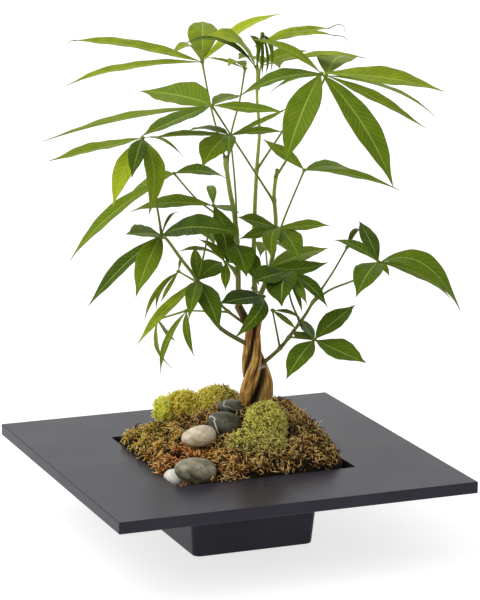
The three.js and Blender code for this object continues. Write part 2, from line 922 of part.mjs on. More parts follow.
const plant = new THREE.Group();
plant.rotation.z = degrees(FRONT_TURN);
plant.position.z = POT_HEIGHT;
for (const [side, start] of starts) {
  plant.add(named("trunk_strand_" + side, strand(start, 0), COLOURS.bark, 0.8));
}
for (const [name, shoot] of Object.entries(SHOOTS)) {
  plant.add(named(name, makeShoot(shoot, strandsGrown), shoot.colour, 0.5));
}

// Each cushion of moss gives way to what was laid before it, and the bed to all of it.
let laid = strandsGrown;
for (const [name, shape] of Object.entries(PEBBLES)) {
  plant.add(named(name, pebble(shape, 0), shape.colour, 0.6));
  laid = laid.add(pebble(shape, GAP));
}
for (const [name, { lobes, colour }] of Object.entries(CUSHIONS)) {
  plant.add(named(name, mainBody(cushion(lobes, 0).subtract(laid)), colour, 0.95));
  laid = laid.add(cushion(lobes, GAP));
}

const moneyTree = new THREE.Group();
moneyTree.add(
  named("planter", makePlanter(), COLOURS.planter, 0.45),
  named("soil", makeSoil(strandsGrown), COLOURS.soil, 0.95),
  named("moss_bed", makeMossBed(laid), COLOURS.mossBrown, 0.95),
  plant,
);

export default moneyTree;
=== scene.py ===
# %% [markdown]
# # A potted money tree
# Three young trees are twisted into one trunk and planted in a square dish with a wide flat rim.
# Moss and river pebbles cover the soil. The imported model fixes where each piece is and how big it
# is, and this lesson dresses it: leaves with veins, split bark, thousands of moss strands, and a
# finish for each surface. Millimetres are used for every size, and one helper turns them into the
# metres of the model.

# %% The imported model
import math

import bpy
import numpy as np
from mathutils import Matrix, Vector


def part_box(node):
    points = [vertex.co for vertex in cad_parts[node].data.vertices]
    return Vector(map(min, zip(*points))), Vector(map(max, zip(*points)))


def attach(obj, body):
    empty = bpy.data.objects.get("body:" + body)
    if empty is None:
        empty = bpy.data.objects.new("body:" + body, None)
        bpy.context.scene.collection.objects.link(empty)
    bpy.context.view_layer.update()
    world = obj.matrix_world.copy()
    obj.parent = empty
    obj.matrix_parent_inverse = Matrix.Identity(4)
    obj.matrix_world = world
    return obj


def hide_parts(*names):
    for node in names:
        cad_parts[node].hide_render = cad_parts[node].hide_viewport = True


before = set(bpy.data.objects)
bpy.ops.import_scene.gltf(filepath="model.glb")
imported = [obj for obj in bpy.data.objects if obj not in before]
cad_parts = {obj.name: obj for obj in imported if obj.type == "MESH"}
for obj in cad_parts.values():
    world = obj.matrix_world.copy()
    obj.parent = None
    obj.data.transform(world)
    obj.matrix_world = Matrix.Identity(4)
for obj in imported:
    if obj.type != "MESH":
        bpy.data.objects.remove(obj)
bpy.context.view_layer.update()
MM = 0.001

# %% [markdown]
# ## Where things are
# The dish stands square to the model's X and Y, but the plant was arranged to be seen over the
# dish's front corner. Its places are therefore easier to read on axes turned towards that view:
# across (to the right), away (to the back) and up from the top of the rim. Turning the finished
# points is simpler than giving each object a rotation, and keeps every object's origin at zero.

# %% Turned axes for the plant
RIM_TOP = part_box("planter")[1].z / MM
FRONT_TURN = math.radians(-22)
TURN_COS, TURN_SIN = math.cos(FRONT_TURN), math.sin(FRONT_TURN)


def to_model(places):
    """Places across, away and up from the rim as X, Y, Z, all in millimetres."""
    across, away, up = np.moveaxis(np.asarray(places, float), -1, 0)
    x = across * TURN_COS - away * TURN_SIN
    y = across * TURN_SIN + away * TURN_COS
    return np.stack([x, y, up + RIM_TOP], -1)


def unit(vectors):
    """Vectors brought to length one."""
    size = np.linalg.norm(vectors, axis=-1, keepdims=True)
    return vectors / np.maximum(size, 1e-9)


print("rim top at", round(RIM_TOP, 2), "mm")

# %% [markdown]
# ## Bodies and pieces
# Every piece here is a closed skin worked out with numpy: a leaf is two faces meeting at its
# edges, a stem or a moss strand is a tube. Modelling thousands of them by hand in edit mode isn't
# practical, and particle hair would not export as a mesh. So a body is kept as plain arrays
# (points, four-cornered faces, triangles, and marks such as "how far along the leaf"), several
# bodies are fused into one, and one helper turns the result into a Blender object. The marks
# become mesh attributes, which the finishes read.

# %% Fusing bodies and making a piece
NO_TRIANGLES = np.zeros((0, 3), int)
made_faces = {}


def fuse(bodies):
    """Several bodies, each (points, quads, triangles, marks), as one body."""
    starts = np.cumsum([0] + [len(body[0]) for body in bodies])
    points = np.concatenate([body[0] for body in bodies])
    quads = np.concatenate([body[1] + start for body, start in zip(bodies, starts)])
    triangles = np.concatenate([body[2] + start for body, start in zip(bodies, starts)])
    marks = {}
    for name in bodies[0][3]:
        marks[name] = np.concatenate([body[3][name] for body in bodies])
    return points, quads, triangles, marks


def make_piece(name, body, finish, nodes, turned=True):
    """A body as a smooth-shaded object that stands for CAD nodes and rides on the dish."""
    points, quads, triangles, marks = body
    if turned:
        points = to_model(points)
    corners = np.concatenate([quads.ravel(), triangles.ravel()])
    sizes = np.concatenate([np.full(len(quads), 4), np.full(len(triangles), 3)])
    mesh = bpy.data.meshes.new(name)
    mesh.vertices.add(len(points))
    mesh.vertices.foreach_set("co", (points * MM).astype(np.float32).ravel())
    mesh.loops.add(len(corners))
    mesh.loops.foreach_set("vertex_index", corners.astype(np.int32))
    mesh.polygons.add(len(sizes))
    mesh.polygons.foreach_set("loop_start", (np.cumsum(sizes) - sizes).astype(np.int32))
    mesh.update(calc_edges=True)
    mesh.shade_smooth()
    for mark, values in marks.items():
        kind, field = ("FLOAT_VECTOR", "vector") if values.ndim > 1 else ("FLOAT", "value")
        attribute = mesh.attributes.new(mark, kind, "POINT")
        attribute.data.foreach_set(field, values.astype(np.float32).ravel())
    mesh.materials.append(finish)
    piece = bpy.data.objects.new(name, mesh)
    bpy.context.scene.collection.objects.link(piece)
    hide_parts(*nodes)
    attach(piece, "root")
    made_faces[name] = len(quads) * 2 + len(triangles)
    return piece


# %% [markdown]
# ## Tubes
# Stems, petioles, the strands of the trunk and the strands of moss are all tubes. A Blender curve
# with a bevel would do for one stem, but it can't carry ridges of bark. Here a ring of points is
# set square to the path at each step, and the ring's own direction is carried along the path so
# that the tube doesn't twist. The same code makes one thick strand or thousands of thin ones.

# %% Rings along a path
ANY_SLANT = [0.31, 0.52, 0.79]  # no path here starts off in this direction


def ring_faces(steps, sides):
    """Faces of a stack of rings: quads from ring to ring, and a fan of triangles at each end."""
    corner = np.arange(steps - 1)[:, None] * sides + np.arange(sides)
    beside = np.arange(steps - 1)[:, None] * sides + (np.arange(sides) + 1) % sides
    quads = np.stack([corner, beside, beside + sides, corner + sides], -1).reshape(-1, 4)
    fan = np.arange(1, sides - 1)
    root = np.stack([fan * 0, fan + 1, fan], -1)
    tip = (steps - 1) * sides + np.stack([fan * 0, fan, fan + 1], -1)
    return quads, root, tip


def tubes(paths, radii, sides):
    """Closed tubes: paths is (count, steps, 3), and radii has one number a ring or a point."""
    count, steps = paths.shape[:2]
    radii = np.broadcast_to(radii, (count, steps, sides)) if radii.ndim == 3 else radii[..., None]
    ahead = unit(np.gradient(paths, axis=1))
    angle = np.arange(sides) * 2 * math.pi / sides
    normal = np.cross(ahead[:, 0], ANY_SLANT)
    rings = np.empty((count, steps, sides, 3))
    for step in range(steps):
        along = ahead[:, step]
        normal = unit(normal - along * np.sum(normal * along, -1, keepdims=True))
        other = np.cross(along, normal)
        ring = normal[:, None] * np.cos(angle)[:, None] + other[:, None] * np.sin(angle)[:, None]
        rings[:, step] = paths[:, step, None] + ring * radii[:, step, :, None]
    quads, root, tip = ring_faces(steps, sides)
    first = np.arange(count)[:, None, None] * steps * sides
    triangles = np.concatenate([first + root, first + tip]).reshape(-1, 3)
    return rings.reshape(-1, 3), (first + quads).reshape(-1, 4), triangles


def per_point(values, shape):
    """A number for each ring or strand, repeated for every point of tubes of that shape."""
    values = np.asarray(values, float)
    while values.ndim < 3:
        values = values[..., None]
    return np.broadcast_to(values, shape).ravel().copy()


print("faces of 7 rings with 3 sides:", [len(faces) for faces in ring_faces(7, 3)])

# %% [markdown]
# ## Finishes
# A finish is a node material. Its nodes are always of the same few kinds, so a small helper adds
# one node for each word: a noise, a ramp of colours, a mix, a bump. Colours are written as they
# look on a screen, 0 to 255, and turned into the linear numbers that shaders mix. A noise lies on
# the object's own place unless it is given another, such as a mark that follows the bark.

# %% A short way to write a finish
MIX_COLOURS, MIX_RESULT = (6, 7), 2  # sockets of a mix node that has its kind set to colour


def screen(red, green, blue):
    """A colour as it looks on a screen, as the linear colour of a shader."""
    return tuple(((v / 255 + 0.055) / 1.055) ** 2.4 for v in (red, green, blue)) + (1,)


class Finish:
    """A material in the making. Each method adds one node and gives back its output."""

    def __init__(self, name, **shader_values):
        self.material = bpy.data.materials.new(name)
        self.material.use_nodes = True
        self.tree = self.material.node_tree
        self.shader = self.tree.nodes["Principled BSDF"]
        for socket, value in shader_values.items():
            self.shader.inputs[socket.replace("_", " ")].default_value = value

    def feed(self, socket, value):
        if isinstance(value, bpy.types.NodeSocket):
            self.tree.links.new(value, socket)
        else:
            socket.default_value = value

    def node(self, kind, inputs, **settings):
        made = self.tree.nodes.new("ShaderNode" + kind)
        for name, value in settings.items():
            setattr(made, name, value)
        for key, value in inputs.items():
            self.feed(made.inputs[key], value)
        return made

    def mark(self, name, output="Fac"):
        return self.node("Attribute", {}, attribute_name=name).outputs[output]

    def place(self):
        return self.node("TexCoord", {}).outputs["Object"]

    def noise(self, scale, where=None, detail=3.0):
        if where is None:
            where = self.place()
        inputs = {"Vector": where, "Scale": scale, "Detail": detail}
        return self.node("TexNoise", inputs).outputs["Fac"]

    def cells(self, scale):
        return self.node("TexVoronoi", {"Vector": self.place(), "Scale": scale}).outputs["Distance"]

    def math(self, operation, first, second=0.0):
        return self.node("Math", {0: first, 1: second}, operation=operation).outputs[0]

    def band(self, value, low, high, start=0.0, end=1.0):
        inputs = {"Value": value, "From Min": low, "From Max": high, "To Min": start, "To Max": end}
        return self.node("MapRange", inputs, interpolation_type="SMOOTHSTEP").outputs[0]

    def ramp(self, value, *stops):
        made = self.node("ValToRGB", {"Fac": value})
        elements = made.color_ramp.elements
        while len(elements) < len(stops):
            elements.new(0.5)
        for element, (place, colour) in zip(elements, stops):
            element.position = place
            element.color = colour
        return made.outputs["Color"]

    def mix(self, share, first, second, blend="MIX"):
        inputs = {0: share, MIX_COLOURS[0]: first, MIX_COLOURS[1]: second}
        made = self.node("Mix", inputs, data_type="RGBA", blend_type=blend)
        return made.outputs[MIX_RESULT]

    def bump(self, height, depth_mm, strength=1.0):
        inputs = {"Height": height, "Distance": depth_mm * MM, "Strength": strength}
        self.feed(self.shader.inputs["Normal"], self.node("Bump", inputs).outputs[0])

    def done(self, colour, roughness=None):
        self.feed(self.shader.inputs["Base Color"], colour)
        if roughness is not None:
            self.feed(self.shader.inputs["Roughness"], roughness)
        return self.material


print("a middle grey is", round(screen(128, 128, 128)[0], 3), "as a linear number")

# %% [markdown]
# ## The dish
# The planter is one cast piece: a small square foot, walls that spread outwards, a wide flat rim
# and the well inside. A cube cut with booleans would give hard edges that catch no light. Instead
# one outline runs from the underside of the foot, round the rim and down into the well. Every
# corner of the outline is rounded by a small arc, and the outline is carried round a square.

# %% The dish's outline, with its corners rounded
RIM_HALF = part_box("planter")[1].x / MM
RIM_THICK = 9.6
RIM_UNDER = RIM_TOP - RIM_THICK
FOOT_TOP = 31
FOOT_HALF = 52.5
FOOT_HALF_ABOVE = 55.1
WALL = 4
FLOOR_SPREAD = 0.3  # how much wider the foot is at the height of the well's floor
OPENING_HALF = 78
NECK_HALF = OPENING_HALF + 5.4  # where the walls meet the underside of the rim
ARC_STEPS = 4

# Each corner of the outline: half width, height, radius of its own edge, radius of the square's corner.
DISH_OUTLINE = [
    (FOOT_HALF, 0, 1.2, 6),
    (FOOT_HALF_ABOVE, FOOT_TOP, 6, 6),
    (NECK_HALF, RIM_UNDER, 2, 6),
    (RIM_HALF, RIM_UNDER, 0.8, 1),
    (RIM_HALF, RIM_TOP, 0.9, 1),
    (OPENING_HALF, RIM_TOP, 0.7, 1.5),
    (OPENING_HALF, RIM_UNDER, 1.5, 1.5),
    (FOOT_HALF_ABOVE - WALL, FOOT_TOP, 4, 4),
    (FOOT_HALF + FLOOR_SPREAD - WALL, WALL, 3, 4),
]


def rounded(outline):
    """The outline with an arc of a few points in place of each corner: (half, height, corner)."""
    flat = np.array([stop[:2] for stop in outline], float)
    before = np.vstack([[0, flat[0][1]], flat[:-1]])
    after = np.vstack([flat[1:], [0, flat[-1][1]]])
    stops = []
    for here, last, following, (_, _, radius, corner) in zip(flat, before, after, outline):
        back, ahead = unit(last - here), unit(following - here)
        bend = math.acos(float(np.clip(back @ ahead, -1, 1)))
        reach = radius / math.tan(bend / 2)
        start, end = here + back * reach, here + ahead * reach
        for share in np.linspace(0, 1, ARC_STEPS + 1):
            place = (1 - share) ** 2 * start + 2 * share * (1 - share) * here + share**2 * end
            stops.append((place[0], place[1], corner))
    return stops


def square_ring(half, height, corner, steps=5):
    """Points round a square with rounded corners, counter-clockwise from above."""
    ring = []
    for quarter in range(4):
        middle = math.radians(45 + 90 * quarter)
        for step in range(steps + 1):
            angle = middle + math.radians(90 * (step / steps - 0.5))
            reach = (half - corner) * math.sqrt(2)
            x = reach * math.cos(middle) + corner * math.cos(angle)
            y = reach * math.sin(middle) + corner * math.sin(angle)
            ring.append((x, y, height))
    return ring


def skin(rings):
    """A closed body over rings of equally many points, with a flat cap at each end."""
    rings = np.asarray(rings, float)
    quads, root, tip = ring_faces(*rings.shape[:2])
    return rings.reshape(-1, 3), quads, np.concatenate([root, tip]), {}


print("stops of the dish's outline:", len(rounded(DISH_OUTLINE)))

# %% [markdown]
# The dish has a satin charcoal glaze with a faint cast of violet. Seen low across the rim it
# mirrors the pale room, and the dark plant in front of the moss, so the rim looks far lighter than
# the faces towards the viewer. That comes from a dark base under a smooth coat, and not from
# painting the rim lighter. The coat's index of refraction is low, because such a thin glaze mirrors
# little where it is seen straight on. A fine grain breaks up the shine.

# %% Charcoal glaze and the dish
def charcoal_glaze():
    glaze = Finish("charcoal_glaze", Roughness=0.28, IOR=1.18)
    glaze.shader.inputs["Specular Tint"].default_value = (0.92, 0.9, 1.0, 1)
    grain = glaze.noise(2600, detail=2.0)
    cloud = glaze.noise(14, detail=4.0)
    tint = glaze.ramp(cloud, (0.3, screen(45, 43, 50)), (0.7, screen(53, 51, 59)))
    fleck = glaze.band(glaze.cells(1500), 0.0, 0.16, 0.35, 0.0)
    tint = glaze.mix(fleck, tint, screen(70, 69, 76))
    glaze.bump(grain, 0.03, 0.5)
    return glaze.done(tint, glaze.band(cloud, 0.25, 0.75, 0.24, 0.32))


dish = make_piece(
    "planter_dish",
    skin([square_ring(*stop) for stop in rounded(DISH_OUTLINE)]),
    charcoal_glaze(), ["planter"], turned=False,
)
level = dish.modifiers.new("level_faces", "WEIGHTED_NORMAL")
level.weight = 100
print("dish faces:", made_faces["planter_dish"])

# %% [markdown]
# ## Soil
# The well is full of dark potting soil. It shows only through the small gaps that the moss leaves
# in two corners of the opening, so it is a plain block with a crumbly top: rings of points shrink
# towards the middle and a mix of waves lifts them by a millimetre or so. Sculpting more than that
# would never be seen.

# %% A block of soil with a crumbly top
SOIL_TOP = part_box("soil")[1].z / MM
SOIL_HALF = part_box("soil")[1].x / MM
SOIL_GAPS = (0.1, 0.5)  # free of the wall at the bottom and at the top of the foot
SOIL_LIFT = 0.6
SOIL_RINGS = 40
CRUMB_SIZE, CRUMB_RISE = 5.5, 0.9


def crumble(x, y, size):
    """Small irregular waves, about -1 to 1, with bumps of roughly that size."""
    k = 2 * math.pi / size
    waves = np.sin(k * (x + 0.4 * y)) * np.sin(k * (0.9 * y - 0.3 * x) + 1)
    return 0.6 * waves + 0.4 * np.sin(k * 1.7 * (x - y) + 2) * np.sin(k * 1.9 * x + k * y)


def soil_body():
    """A block that fills the well, with rings of crumbs for its top."""
    rings = [
        square_ring(FOOT_HALF - WALL - SOIL_GAPS[0], WALL + SOIL_LIFT, 4),
        square_ring(FOOT_HALF_ABOVE - WALL - SOIL_GAPS[1], FOOT_TOP, 4),
    ]
    for share in np.linspace(1, 0.02, SOIL_RINGS):
        ring = np.array(square_ring(SOIL_HALF * share, SOIL_TOP, 4 * share))
        ring[:, 2] += CRUMB_RISE * crumble(ring[:, 0], ring[:, 1], CRUMB_SIZE) - CRUMB_RISE
        rings.append(ring)
    return skin(rings)


def potting_soil():
    soil = Finish("potting_soil", Roughness=0.95)
    crumbs = soil.noise(420, detail=6.0)
    soil.bump(crumbs, 1.2)
    tint = soil.ramp(crumbs, (0.35, screen(18, 12, 9)), (0.6, screen(46, 32, 23)))
    return soil.done(soil.mix(soil.band(crumbs, 0.68, 0.72), tint, screen(92, 76, 58)))


make_piece("soil_fill", soil_body(), potting_soil(), ["soil"], turned=False)
print("soil top at", round(SOIL_TOP, 2), "mm, faces:", made_faces["soil_fill"])

# %% [markdown]
# ## The trunk
# Three stems were wound round each other when they were young and soft. As they thickened they
# pressed together, so each one is a helix round a leaning axis, fat at the foot, thin where the
# stems part at the top. A screw modifier would keep the thickness constant, so the path and the
# radius are worked out for each height instead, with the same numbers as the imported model.

# %% Paths of the twisted strands
TRUNK_FOOT, TRUNK_HEAD = np.array([24.2, 25]), np.array([15, 14])
TRUNK_HEAD_AT = 122  # height where the axis reaches its head
STRAND_BOTTOM, STRAND_TOP = -30, 121
TWIST_PITCH, TWIST_FROM = 130, 36
STRAND_START = {"left": 180, "middle": 60, "right": -60}
STRAND_RADIUS = [
    (-45, 4.2), (0, 6), (46, 6.4), (55, 6.1), (65, 5.2), (74, 4.3),
    (83, 3.5), (92, 3), (99, 2.7), (110, 2.9), (122, 2.8),
]
STRAND_OFFSET = [
    (-45, 9.5), (0, 8.6), (46, 8.1), (55, 7.7), (65, 6.6), (74, 5.5),
    (83, 4.6), (92, 4), (99, 3.75), (110, 6.4), (122, 10),
]


def between(stops, at):
    """Straight-line look-up of a value in (position, value) stops."""
    places, values = zip(*stops)
    return np.interp(at, places, values)


def strand_points(start, height):
    """Centre line of the strand that starts at that angle, in degrees."""
    height = np.asarray(height, float)
    share = np.clip(height / TRUNK_HEAD_AT, 0, 1)[..., None]
    angle = np.radians(start + 360 * (height - TWIST_FROM) / TWIST_PITCH)
    around = np.stack([np.cos(angle), np.sin(angle)], -1)
    axis = TRUNK_FOOT * (1 - share) + TRUNK_HEAD * share
    place = axis + around * between(STRAND_OFFSET, height)[..., None]
    return np.concatenate([place, height[..., None]], -1)


print("middle strand at the rim:", strand_points(STRAND_START["middle"], 0).round(1))

# %% [markdown]
# Bark of this kind is thin and tan, stretched into shallow ridges that run along the stem, with a
# few deep splits where it could not stretch further. Both follow the strand, so they are worked
# out from how far round and how far along the strand a point is. The ridges, splits and a few
# knots are true relief, as they show against the light, and only the finest grain is left to a
# bump in the finish.

# %% Ridges, splits and knots of the bark
# Each set of ridges: how many round the strand, drift along it, depth in millimetres.
BARK_RIDGES = ((4, 0.031, 0.24), (7, -0.043, 0.10), (13, 0.06, 0.05))
SPLITS, SPLIT_DEPTH, SPLIT_WIDTH = 7, 0.85, 0.10
KNOTS, KNOT_RISE, KNOT_WIDTH, KNOT_LENGTH = 5, 0.5, 0.4, 2.6
ANY_PHASE = (0, 6.28)  # about a full turn, in radians


def bark_relief(around, height, seed):
    """Ridges and splits of the bark in millimetres, and how deep in a split a point is."""
    draw = np.random.default_rng(seed)
    ridges = 0
    for count, drift, depth in BARK_RIDGES:
        phase = draw.uniform(*ANY_PHASE)
        wander = 0.9 * np.sin(height / draw.uniform(9, 21) + phase)
        ridges = ridges + depth * np.sin(count * around + drift * height + wander + phase)
    split = 0
    for middle in draw.uniform(*ANY_PHASE, SPLITS):
        low = draw.uniform(-5, 85)
        long = draw.uniform(18, 46)
        wander = 0.22 * np.sin(height / draw.uniform(5, 9) + middle)
        off = np.angle(np.exp(1j * (around - middle - wander)))
        ends = np.clip(1 - ((height - low - long / 2) / (long / 2)) ** 2, 0, 1)
        split = np.maximum(split, ends * np.exp(-((off / SPLIT_WIDTH) ** 2)))
    knots = 0
    for _ in range(KNOTS):
        middle, at = draw.uniform(*ANY_PHASE), draw.uniform(5, 95)
        off = np.angle(np.exp(1j * (around - middle)))
        knot = np.exp(-((off / KNOT_WIDTH) ** 2) - ((height - at) / KNOT_LENGTH) ** 2)
        knots = knots + KNOT_RISE * knot
    return ridges + knots - SPLIT_DEPTH * split, split


trial = bark_relief(np.linspace(*ANY_PHASE, 200), np.linspace(0, 100, 200)[:, None], seed=1)[0]
print("bark relief from", round(trial.min(), 2), "to", round(trial.max(), 2), "mm")

# %% [markdown]
# A strand's body is one tube along its helix, with the relief added to its radius and scaled down
# where the strand is thin. Besides the splits, it carries marks for the finish: the grain runs
# along the strand, "outward" tells how far a point is from the trunk's own axis, so that the
# finish can paint shade into the creases between the strands, and "scar" is strongest round the
# old wound where the strands cross at the front.

# %% One strand with its marks
STRAND_SIDES, STRAND_STEPS = 64, 300
PRESS = 0.55  # how much the strands bulge into each other where they touch
FULL_RELIEF_RADIUS = 6  # radius of a strand that has the relief at its full depth
GRAIN_LENGTH = 45  # millimetres of strand over which the grain changes as much as it does round it
SCAR_AT, SCAR_SIZE = np.array([27, 12, 70]), np.array([7, 8, 4.2])


def strand_body(name):
    """One strand of the trunk, from inside the soil to where its green stem starts."""
    height = np.linspace(STRAND_BOTTOM, STRAND_TOP, STRAND_STEPS)
    around = np.arange(STRAND_SIDES) * 2 * math.pi / STRAND_SIDES
    relief, split = bark_relief(around, height[:, None], seed=len(name))
    size = between(STRAND_RADIUS, height)
    radii = size[:, None] + PRESS + relief * (size[:, None] / FULL_RELIEF_RADIUS)
    path = strand_points(STRAND_START[name], height)
    points, quads, triangles = tubes(path[None], radii[None], STRAND_SIDES)
    shape = (1, STRAND_STEPS, STRAND_SIDES)
    turn = np.broadcast_to(around, shape).ravel()
    along = per_point(height[None], shape)
    share = np.clip(along / STRAND_TOP, 0, 1)[:, None]
    axis = TRUNK_FOOT * (1 - share) + TRUNK_HEAD * share
    from_axis = np.linalg.norm(points[:, :2] - axis, axis=1)
    farthest = between(STRAND_OFFSET, along) + between(STRAND_RADIUS, along)
    marks = {
        "grain": np.stack([np.cos(turn), np.sin(turn), along / GRAIN_LENGTH], -1),
        "split": np.broadcast_to(split, shape).ravel(),
        "height": along,
        "outward": from_axis / farthest,
        "scar": np.exp(-np.sum(((points - SCAR_AT) / SCAR_SIZE) ** 2, -1)),
    }
    return points, quads, triangles, marks


print("points of a strand:", STRAND_SIDES * STRAND_STEPS)

# %% [markdown]
# The bark's colours are laid over each other: streaks from dark brown to straw along the grain,
# then rusty patches, dark flecks and olive patches where it is still young, then the splits in
# near black, and a painted shade, also near black, in the creases between the strands. The scar
# is a speckle of black and white. Towards the top the bark turns into the green of the stems. A
# picture wrapped round a twisted strand would stretch, so all of it comes from noises and marks.

# %% Bark finish and the three strands
def split_bark():
    bark = Finish("split_bark", Roughness=0.8)
    bark.shader.inputs["Specular IOR Level"].default_value = 0.3
    grain = bark.mark("grain", "Vector")
    streak = bark.noise(3.4, grain, detail=5.0)
    fine = bark.noise(13, grain, detail=4.0)
    patch = bark.noise(75)
    tint = bark.ramp(
        streak,
        (0.30, screen(102, 58, 26)), (0.43, screen(168, 118, 54)),
        (0.55, screen(210, 162, 82)), (0.70, screen(242, 208, 132)),
    )
    tint = bark.mix(bark.band(patch, 0.52, 0.68, 0, 0.6), tint, screen(128, 62, 34))
    tint = bark.mix(bark.band(fine, 0.58, 0.72, 0, 0.4), tint, screen(66, 38, 22))
    olive = bark.band(bark.noise(48), 0.48, 0.64, 0, 0.45)
    tint = bark.mix(olive, tint, screen(112, 104, 42))
    tint = bark.mix(bark.band(bark.mark("split"), 0.12, 0.65), tint, screen(38, 22, 14))
    # Painted shade: the creases between the strands, nearest the trunk's axis, are darkened near black.
    crease = bark.band(bark.mark("outward"), 0.87, 0.66, 0, 0.9)
    tint = bark.mix(crease, tint, screen(30, 18, 10))
    speckle = bark.noise(620, detail=2.0)
    speckle = bark.ramp(speckle, (0.44, screen(26, 18, 12)), (0.56, screen(232, 222, 196)))
    tint = bark.mix(bark.band(bark.mark("scar"), 0.35, 0.7, 0, 0.85), tint, speckle)
    young = bark.band(bark.mark("height"), 100, 124, 0, 0.6)
    tint = bark.mix(young, tint, screen(92, 84, 40))
    bark.bump(bark.mix(0.5, fine, streak), 0.5, 0.7)
    return bark.done(tint)


bark_finish = split_bark()
for name in STRAND_START:
    node = "trunk_strand_" + name
    make_piece(node + "_bark", strand_body(name), bark_finish, [node])
print("faces of a strand:", made_faces["trunk_strand_left_bark"])

# %% [markdown]
# ## How a leaf is built
# A money tree's leaf is a hand: a thin petiole, a pale knob where it ends, and up to seven
# leaflets. A leaflet leaves the knob along a curved midrib and ends in a long drip tip. One
# subdivided plane copied about would look like paper confetti, because real leaflets differ in
# length, width and droop. So each one is given by where its tip is and how wide it is, and its
# skin is worked out: a midrib curve, a half outline, a fold along the midrib, a ripple at the
# edges, and a quilted rise between each pair of side veins.

# %% The skin of one leaflet
BLADE_ROWS_MM = 1.6  # length of blade for each row of points
BLADE_ACROSS = np.array([-1, -0.9, -0.68, -0.42, -0.2, -0.07, 0, 0.07, 0.2, 0.42, 0.68, 0.9, 1])
BLADE_THICK = 0.42
LEAST_HALF = 0.22  # half width at the very tip
TIP_FROM, TIP_LONG, TIP_NARROWS = 0.78, 0.22, 0.45  # the drip tip, as shares of length and width
FOOT_FLARE, FOOT_REACH = 0.35, 2.5  # extra half width at the knob, and how far it reaches
SWAY = 0.012  # sideways bend of the midrib, as a share of the blade's length
WAVE, RIPPLE = 0.035, 0.012  # long and short waves of the edge, as shares of the blade's width
QUILT_RISE = 0.16
MIDRIB_HALF = 0.12  # as a share of the blade's half width
MIDRIB_SINK, MIDRIB_KEEL = 0.12, 0.55  # groove above and keel below
VEIN_SPACING = 5.2  # between side veins, in millimetres along the midrib
VEIN_SWEEP = 0.55  # how far forward a side vein reaches, as a share of the blade's width
KNOB_OFFSET = 1.1
dice = np.random.default_rng(11)  # one seeded source, so that each run grows the same plant


def half_outline(share):
    """Half width of a leaflet: narrow foot, fullest near the middle, drawn-out tip."""
    share = np.clip(share, 0, 0.999)
    full = np.sin(math.pi * share**0.9) ** 1.1
    narrowed = TIP_NARROWS * np.clip((share - TIP_FROM) / TIP_LONG, 0, 1)
    return full * (1 - narrowed * np.clip((1 - share) / 0.1, 0, 1))


def leaflet(centre, tip, width, face, arch, peak, fold, tone):
    """One leaflet from the knob at centre to its tip, as a thin closed body with marks."""
    root = centre + (tip - centre) * KNOB_OFFSET / np.linalg.norm(tip - centre)
    length = float(np.linalg.norm(tip - root))
    along = (tip - root) / length
    side = unit(np.cross(face, along))
    crest = root + (tip - root) * peak + 2 * arch * length * np.cross(along, side)
    rows = max(9, int(length / BLADE_ROWS_MM))
    share = np.linspace(0, 1, rows)[:, None]
    spine = (1 - share) ** 2 * root + 2 * share * (1 - share) * crest + share**2 * tip
    ahead = unit((1 - share) * (crest - root) + share * (tip - crest))
    lift = unit(np.cross(ahead, side))
    sway = SWAY * length * dice.uniform(-1, 1) * np.sin(math.pi * share)
    spine = spine + side * sway
    across = BLADE_ACROSS[None]
    half = np.maximum(LEAST_HALF, width / 2 * half_outline(share))
    half = half + FOOT_FLARE * np.exp(-share * length / FOOT_REACH)
    phase = np.where(across > 0, dice.uniform(*ANY_PHASE), dice.uniform(*ANY_PHASE))
    swell = WAVE * width * np.sin(9 * share + phase)
    swell = swell + RIPPLE * width * np.sin(31 * share + 2 * phase)
    veins = share * length / VEIN_SPACING - np.abs(across) * VEIN_SWEEP * width / VEIN_SPACING
    quilt = QUILT_RISE * (1 - np.cos(2 * math.pi * veins)) * np.abs(across) * (1 - across**2)
    rise = np.abs(across) * half * fold + swell * across**2 * half_outline(share)
    rise = rise + quilt * np.clip(half / 5, 0, 1)
    out = across * half * (1 - 0.4 * (fold - 0.2))
    skin_line = spine[:, None] + side * out[..., None] + lift[:, None] * rise[..., None]
    body_thick = BLADE_THICK * (1 - across**4) / 2
    midrib = np.clip(1 - np.abs(across) / MIDRIB_HALF, 0, 1) * np.clip(half / 6, 0.2, 1)
    midrib = midrib * (1 - 0.6 * share)
    upper = skin_line + lift[:, None] * (body_thick - MIDRIB_SINK * midrib)[..., None]
    lower = skin_line - lift[:, None] * (body_thick + MIDRIB_KEEL * midrib)[..., None]
    return closed_sheet(upper, lower, {
        "across": np.broadcast_to(across, (rows, across.size)),
        "along": np.broadcast_to(share, (rows, across.size)),
        "veins": veins,
        "tone": np.full((rows, across.size), tone),
        "stalk": np.broadcast_to(np.exp(-share * length / 1.6), (rows, across.size)),
    })


print("half width along a leaflet:", half_outline(np.linspace(0, 1, 6)).round(2))

# %% [markdown]
# The two faces share the points along the rim of the leaflet, so the blade thins to an edge as a
# real one does, and the body is closed. The inner points of the lower face carry the mark "under",
# which tells the finish to be paler there.

